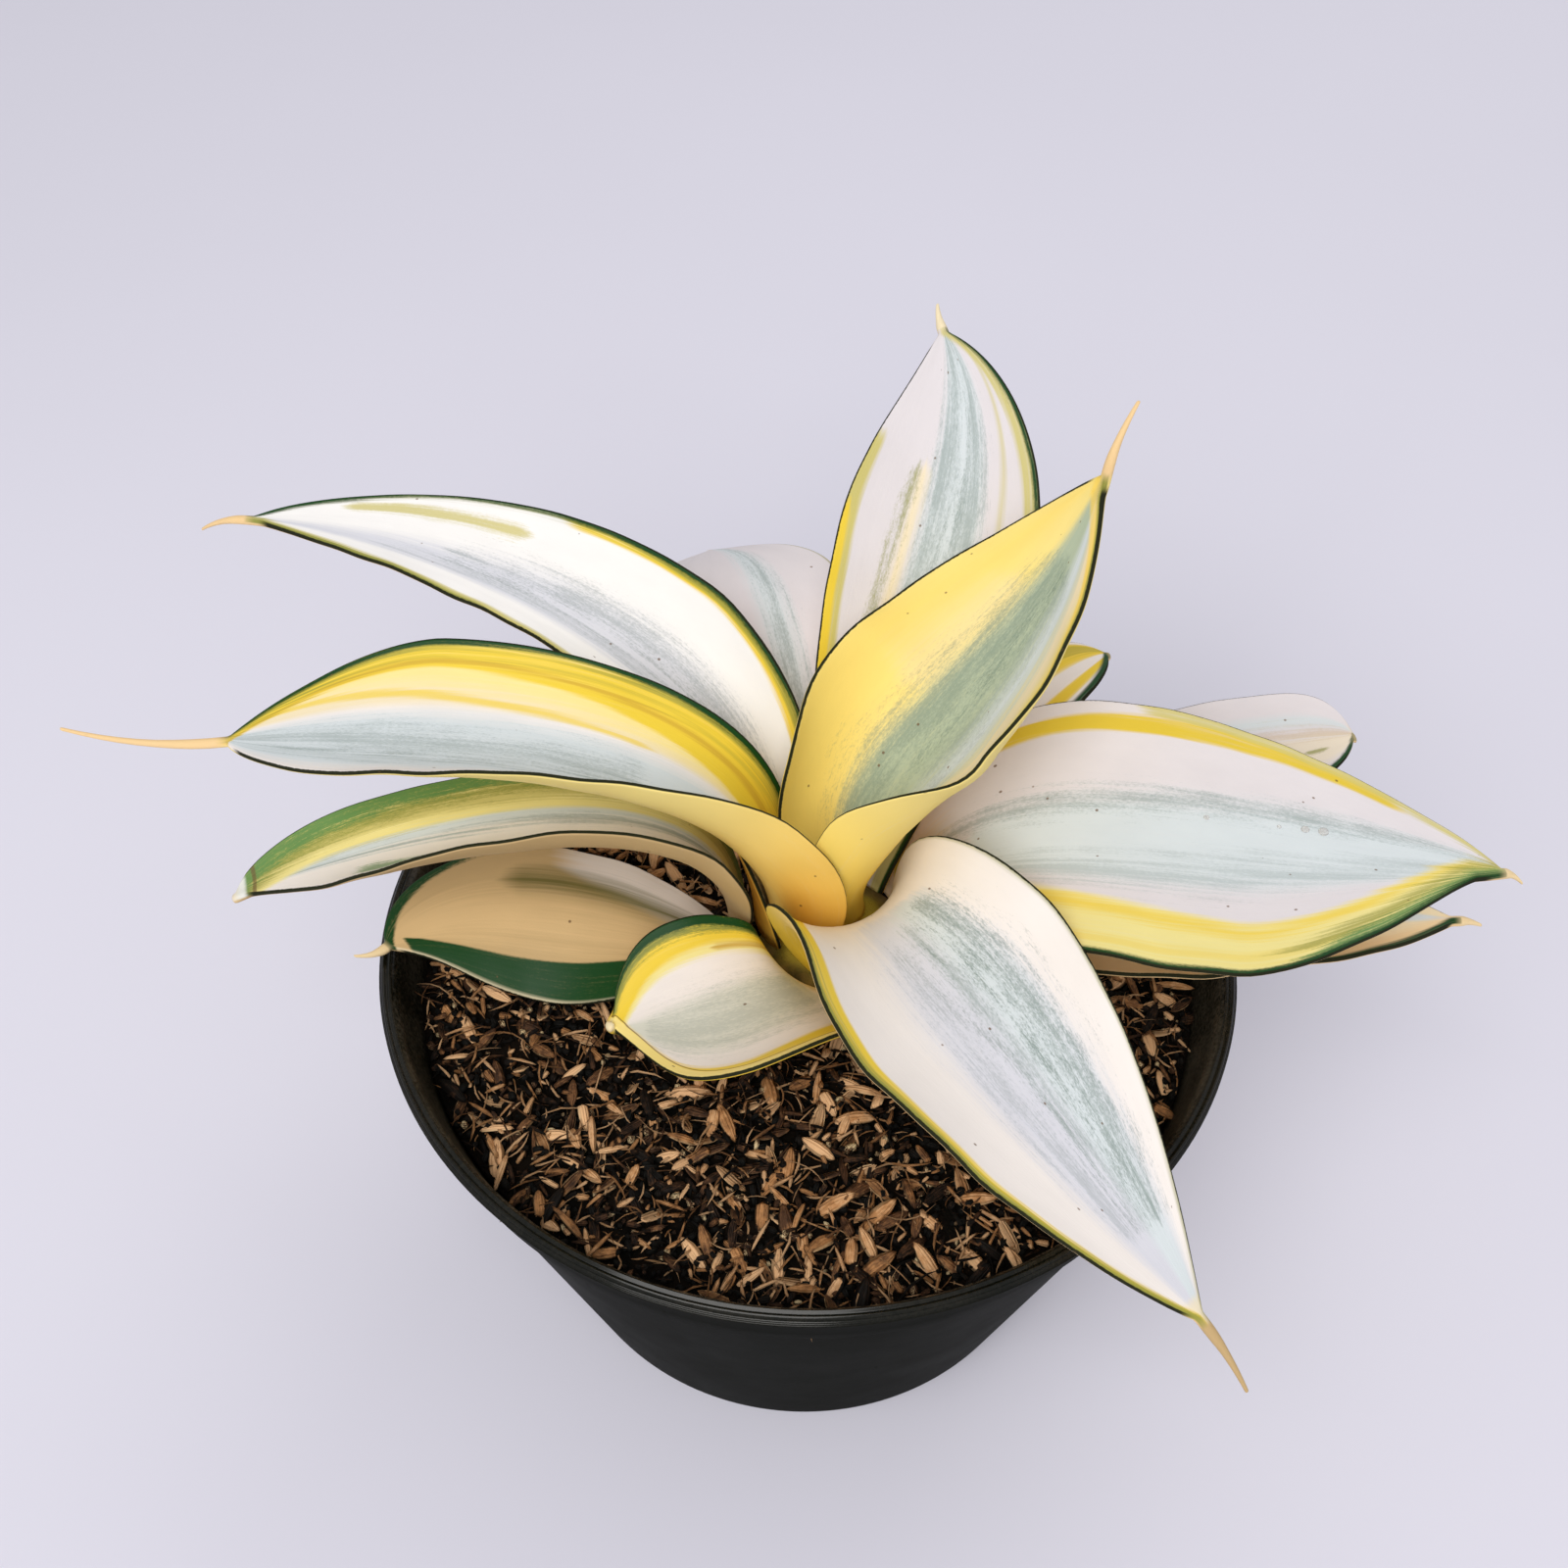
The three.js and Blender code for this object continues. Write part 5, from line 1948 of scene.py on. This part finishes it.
@dataclass(frozen=True)
class Mix:
    """The potting mix: its crumbly bed, and the husks, slivers, fibres and crumbs strewn over it.

    Its surface falls by a power, slump, from the middle to the edge. lumps are the widths and heights of its
    unevenness, and gap is what it keeps from the pot.
    """

    edge_height: float = 74.0
    middle_height: float = 76.0
    slump: float = 4.0
    gap: float = 0.3
    crown_clearance: float = 15.0
    rings: int = 70
    sides: int = 180
    lumps: tuple[tuple[float, float], ...] = ((9, 1.1), (2.7, 0.7), (1.3, 0.35))
    strewn: tuple[Strewn, ...] = (
        Strewn(
            "rice_husks",
            (
                HuskShape(7.4, 2.5, 0.8, 0.3),
                HuskShape(7.0, 2.2, 0.9, 0.2, turned=True),
                HuskShape(7.8, 2.8, 0.9, 0.5),
                HuskShape(5.0, 2.4, 0.7, 0.1, blunt=0.8),
                HuskShape(7.2, 1.5, 0.8, 0.4),
                HuskShape(6.6, 1.9, 0.7, 0.2, blunt=0.5, turned=True),
            ),
            spacing=2.2,
            density=0.085,
            size=(0.75, 1.12),
            tilt=34,
            lift=(0.2, 1.8),
            shade=(0.12, 1.0),
            seed=7,
            finish=HuskFinish("rice_husk"),
        ),
        Strewn(
            "husk_slivers",
            (
                chip(6.0, 0.7, 0.35, 0.3),
                chip(3.6, 0.9, 0.35, 0.1, blunt=0.9),
                chip(8.5, 0.45, 0.3, 0.6, sway=0.8),
                chip(2.4, 1.2, 0.35, blunt=1.0),
                chip(5.0, 0.5, 0.35, 0.2, sway=-0.6),
            ),
            spacing=0.9,
            density=0.34,
            size=(0.5, 1.2),
            tilt=36,
            lift=(0.1, 1.9),
            shade=(0.0, 1.0),
            seed=11,
            finish=HuskFinish("husk_sliver", edge_share=0.0),
        ),
        Strewn(
            "root_fibres",
            (
                fibre(13.0, 0.3, 0.3, 1.2, sway=2.4),
                fibre(9.0, 0.24, 0.24, -0.8, sway=-1.6),
                fibre(6.0, 0.34, 0.3, 0.8, sway=1.4),
            ),
            spacing=2.4,
            density=0.04,
            size=(0.7, 1.1),
            tilt=26,
            lift=(0.5, 1.9),
            shade=(0.3, 1.0),
            seed=17,
            finish=HuskFinish("root_fibre", edge_share=0.0),
        ),
        Strewn(
            "mix_crumbs",
            (
                chip(1.8, 1.5, 1.1, blunt=0.7),
                chip(1.2, 1.0, 0.8, blunt=0.9),
                chip(2.6, 1.4, 1.0, blunt=0.5),
            ),
            spacing=0.75,
            density=0.5,
            size=(0.4, 1.15),
            tilt=60,
            lift=(-0.2, 1.0),
            shade=(0.0, 1.0),
            seed=13,
            finish=HuskFinish(
                "mix_crumb",
                stops=(
                    (0.0, Paint.LOAM_DARK),
                    (0.5, Paint.LOAM_DARK),
                    (0.8, Paint.LOAM),
                    (0.94, Paint.HUSK_DARK),
                    (1.0, Paint.STRAW),
                ),
                edge_share=0.0,
            ),
        ),
    )

    def _bed(self, pot: Pot) -> bpy.types.Object:
        """The crumbly bed, filling the pot up to its surface.

        Args:
            pot: the pot that holds it.

        Returns:
            Its object.
        """
        floor = pot.floor_top + self.gap
        edge = pot.inside_radius(self.edge_height) - 2 * self.gap
        outside = [
            (0, floor),
            (pot.inside_radius(floor) - 3, floor),
            (pot.inside_radius(floor + 2) - 1, floor + 2),
            (edge - 0.2, self.edge_height - 1),
        ]
        top = []
        for radius in np.linspace(edge, 0, self.rings):
            drop = (self.middle_height - self.edge_height) * (radius / edge) ** self.slump
            top.append((radius, self.middle_height - drop))
        points, faces = revolve(outside + top, self.sides)
        on_top = np.zeros(len(points))
        for i, (x, y, z) in enumerate(points):
            if z < self.edge_height - 0.5:
                continue
            spot = Vector((x, y, 0))
            inward = min(1.0, (edge - math.hypot(x, y)) / 2)
            rough = sum(height * noise.noise(spot / size) for size, height in self.lumps)
            points[i, 2] += rough * inward - 0.2
            off_crown = math.hypot(x - CROWN_CENTRE[0], y - CROWN_CENTRE[1]) - self.crown_clearance
            if math.hypot(x, y) < edge - 0.9:
                on_top[i] = min(1.0, max(0.0, off_crown / 3))
        mesh = make_mesh("mix_bed", points, faces)
        mark(mesh, "open", on_top)
        return make_object("mix_bed", mesh, LoamFinish().make())

    def make(self, pot: Pot) -> list[bpy.types.Object]:
        """Builds the mix for a pot, as its objects with the bed first."""
        bed = self._bed(pot)
        return [bed, *(kind.make(bed) for kind in self.strewn)]


@dataclass(frozen=True)
class Crown:
    """The short corky stem between the leaves' feet, ringed by old leaf scars."""

    radius: float = 20.0
    bottom: float = 62.0
    shoulder: float = 75.0
    top: float = 80.0
    tip_radius: float = 3.0
    scars: int = 4
    scar_depth: float = 0.35
    flare: float = 1.2
    dome: float = 1.6
    lump_size: float = 3.0
    lump_height: float = 0.35
    sides: int = 96

    SCAR_STEPS = 8
    CORK_FADE = (0.35, 0.68)
    CLASP_HEIGHTS = (75.5, 77.5)
    CLASP_SHARE = 0.85

    def _material(self) -> bpy.types.Material:
        """Corky bark, dusted with mix, and yellow where the leaves' feet clasp it.

        Returns:
            The material.
        """
        s = Surface("crown_cork")
        x, y, z = s.parts(s.place())
        cork = s.grain(s.vector(x, y, z * 2.5), scale=0.35, detail=5.0, roughness=0.65)
        colour = s.blend(s.step(cork, *self.CORK_FADE), Paint.LOAM, Paint.BARK)
        colour = s.blend(s.step(z, *self.CLASP_HEIGHTS) * self.CLASP_SHARE, colour, Paint.GOLD)
        return s.close({"Base Color": colour, "Roughness": 0.75 + 0.2 * cork, "Normal": s.bump(cork, 0.8)})

    def make(self) -> bpy.types.Object:
        """Builds the crown.

        Returns:
            Its object.
        """
        profile = [(0, self.bottom), (self.radius * 0.7, self.bottom), (self.radius, self.bottom + 4)]
        steps = self.SCAR_STEPS * self.scars
        for i in range(steps + 1):
            share = i / steps
            scar = self.scar_depth * math.sin(2 * math.pi * self.scars * share) * math.sin(math.pi * share)
            radius = self.tip_radius + (self.radius - self.tip_radius) * (1 - share) ** self.flare
            height = self.shoulder + (self.top - self.shoulder) * share ** self.dome
            profile.append((radius + scar, height))
        points, faces = revolve([*profile, (0, self.top)], self.sides)
        for i, point in enumerate(points):
            points[i, 2] += self.lump_height * noise.noise(Vector(point) / self.lump_size)
        points[:, :2] += CROWN_CENTRE
        return make_object("crown_stem", make_mesh("crown_stem", points, faces), self._material())


@dataclass(frozen=True)
class Dew:
    """A few beads of water standing on a leaf, each at a place along and across it and with a radius."""

    leaf: str = "leaf_right"
    beads: tuple[tuple[float, float, float], ...] = (
        (0.70, 0.35, 0.75),
        (0.728, 0.36, 0.9),
        (0.66, 0.33, 0.4),
        (0.55, 0.31, 0.55),
    )
    narrowness: float = 0.9
    flatness: float = 0.42

    def make(self, leaf: Leaf) -> bpy.types.Object:
        """Builds the beads.

        Args:
            leaf: the leaf that they stand on.

        Returns:
            Their object.
        """
        sheet = LeafSheet(leaf.form)
        shape = bmesh.new()
        for along, across, radius in self.beads:
            u, v = np.array([along]), np.array([[across]])
            top = sheet.thickness(v, u) / 2
            base, above = sheet.points(u, v, top)[0, 0], sheet.points(u, v, top + 1)[0, 0]
            lean = Vector(above - base).to_track_quat("Z", "Y").to_matrix().to_4x4()
            shares = (1, self.narrowness, self.flatness)
            size = Matrix.Diagonal([*(radius * share * MM for share in shares), 1])
            stand = Matrix.Translation(Vector(base) * MM) @ lean @ size
            bmesh.ops.create_icosphere(shape, subdivisions=3, radius=1.0, matrix=stand)
        mesh = bpy.data.meshes.new("dew_beads")
        shape.to_mesh(mesh)
        shape.free()
        s = Surface("water_bead")
        ripple = s.grain(s.place(), scale=0.8, detail=1.0)
        water = s.close({
            "Base Color": Paint.SNOW,
            "Roughness": 0.02 + 0.03 * ripple,
            "IOR": 1.33,
            "Transmission Weight": 0.55,
        })
        return make_object("dew_beads", mesh, water)


@dataclass(frozen=True)
class Studio:
    """Camera at the photograph's angle, soft lights, and a plain pale floor."""

    field_of_view: float = 45.0
    distance: float = 335.28
    elevation: float = 51.24
    yaw: float = 0.83
    pitch: float = 4.37
    roll: float = 1.41
    aim_height: float = 85.0
    floor_size: float = 6.0
    daylight: float = 0.52

    def _camera(self) -> None:
        """Places the camera."""
        height = math.radians(self.elevation)
        back = Vector((0, -math.cos(height), math.sin(height)))
        right = Vector((1, 0, 0))
        turned = Matrix((right, back.cross(right), back)).transposed()
        turned @= Matrix.Rotation(math.radians(self.yaw), 3, "Y")
        turned @= Matrix.Rotation(math.radians(self.pitch), 3, "X")
        turned @= Matrix.Rotation(math.radians(self.roll), 3, "Z")
        data = bpy.data.cameras.new("view")
        data.sensor_width = 36.0
        data.lens = data.sensor_width / 2 / math.tan(math.radians(self.field_of_view / 2))
        data.clip_start = 0.01
        camera = bpy.data.objects.new("view", data)
        camera.matrix_world = turned.to_4x4()
        camera.location = (back * self.distance + Vector((0, 0, self.aim_height))) * MM
        bpy.context.scene.collection.objects.link(camera)
        bpy.context.scene.camera = camera

    def _light(self, name: str, place: Sequence[float], size: float, power: float) -> None:
        """Adds a soft square light aimed at the plant.

        Args:
            name: its name.
            place: where it hangs, in metres.
            size: its side, in metres.
            power: its power, in watts.
        """
        data = bpy.data.lights.new(name, "AREA")
        data.size = size
        data.energy = power
        data.color = Paint.SNOW.linear[:3]
        lamp = bpy.data.objects.new(name, data)
        lamp.location = place
        aim = Vector((0, 0, self.aim_height * MM)) - Vector(place)
        lamp.rotation_euler = aim.to_track_quat("-Z", "Y").to_euler()
        bpy.context.scene.collection.objects.link(lamp)

    def _floor(self) -> bpy.types.Object:
        """The pale floor.

        Returns:
            Its object.
        """
        shape = bmesh.new()
        bmesh.ops.create_grid(shape, x_segments=8, y_segments=8, size=self.floor_size / 2)
        mesh = bpy.data.meshes.new("pale_floor")
        shape.to_mesh(mesh)
        shape.free()
        s = Surface("pale_floor")
        cloud = s.grain(s.place(), scale=0.004, detail=3.0)
        wall = s.close({
            "Base Color": s.blend(1.0, Paint.WALL, s.grey(0.97 + 0.05 * cloud), "MULTIPLY"),
            "Roughness": 0.85,
            "Specular IOR Level": 0.2,
        })
        return make_object("pale_floor", mesh, wall)

    def make(self) -> None:
        """Sets up the studio."""
        self._camera()
        self._light("key_softbox", place=(-0.3, -1.0, 1.3), size=1.1, power=20.5)
        self._light("back_softbox", place=(0.45, 0.7, 0.9), size=0.7, power=2.2)
        world = bpy.data.worlds.new("daylight")
        world.use_nodes = True
        backdrop = world.node_tree.nodes["Background"]
        backdrop.inputs["Color"].default_value = Paint.DAYLIGHT.linear
        backdrop.inputs["Strength"].default_value = self.daylight
        scene = bpy.context.scene
        scene.world = world
        scene.view_settings.view_transform = "Standard"
        self._floor()


def main() -> None:
    """Builds the studio and every piece, and reports each one."""
    logging.basicConfig(level=logging.INFO, format="%(name)s %(message)s", stream=sys.stdout)
    Studio().make()
    pot = Pot()
    hand_over(pot.make(), "pot", "pot")
    bed, *strewn = Mix().make(pot)
    hand_over(bed, "soil", "soil")
    for matter in strewn:
        hand_over(matter, "soil")
    hand_over(Crown().make(), "crown", "crown")
    for leaf in LEAVES:
        hand_over(leaf.make(), leaf.slot, leaf.node)
    dew = Dew()
    wet = next(leaf for leaf in LEAVES if leaf.node == dew.leaf)
    hand_over(dew.make(wet), wet.slot)


if __name__ == "__main__":
    main()
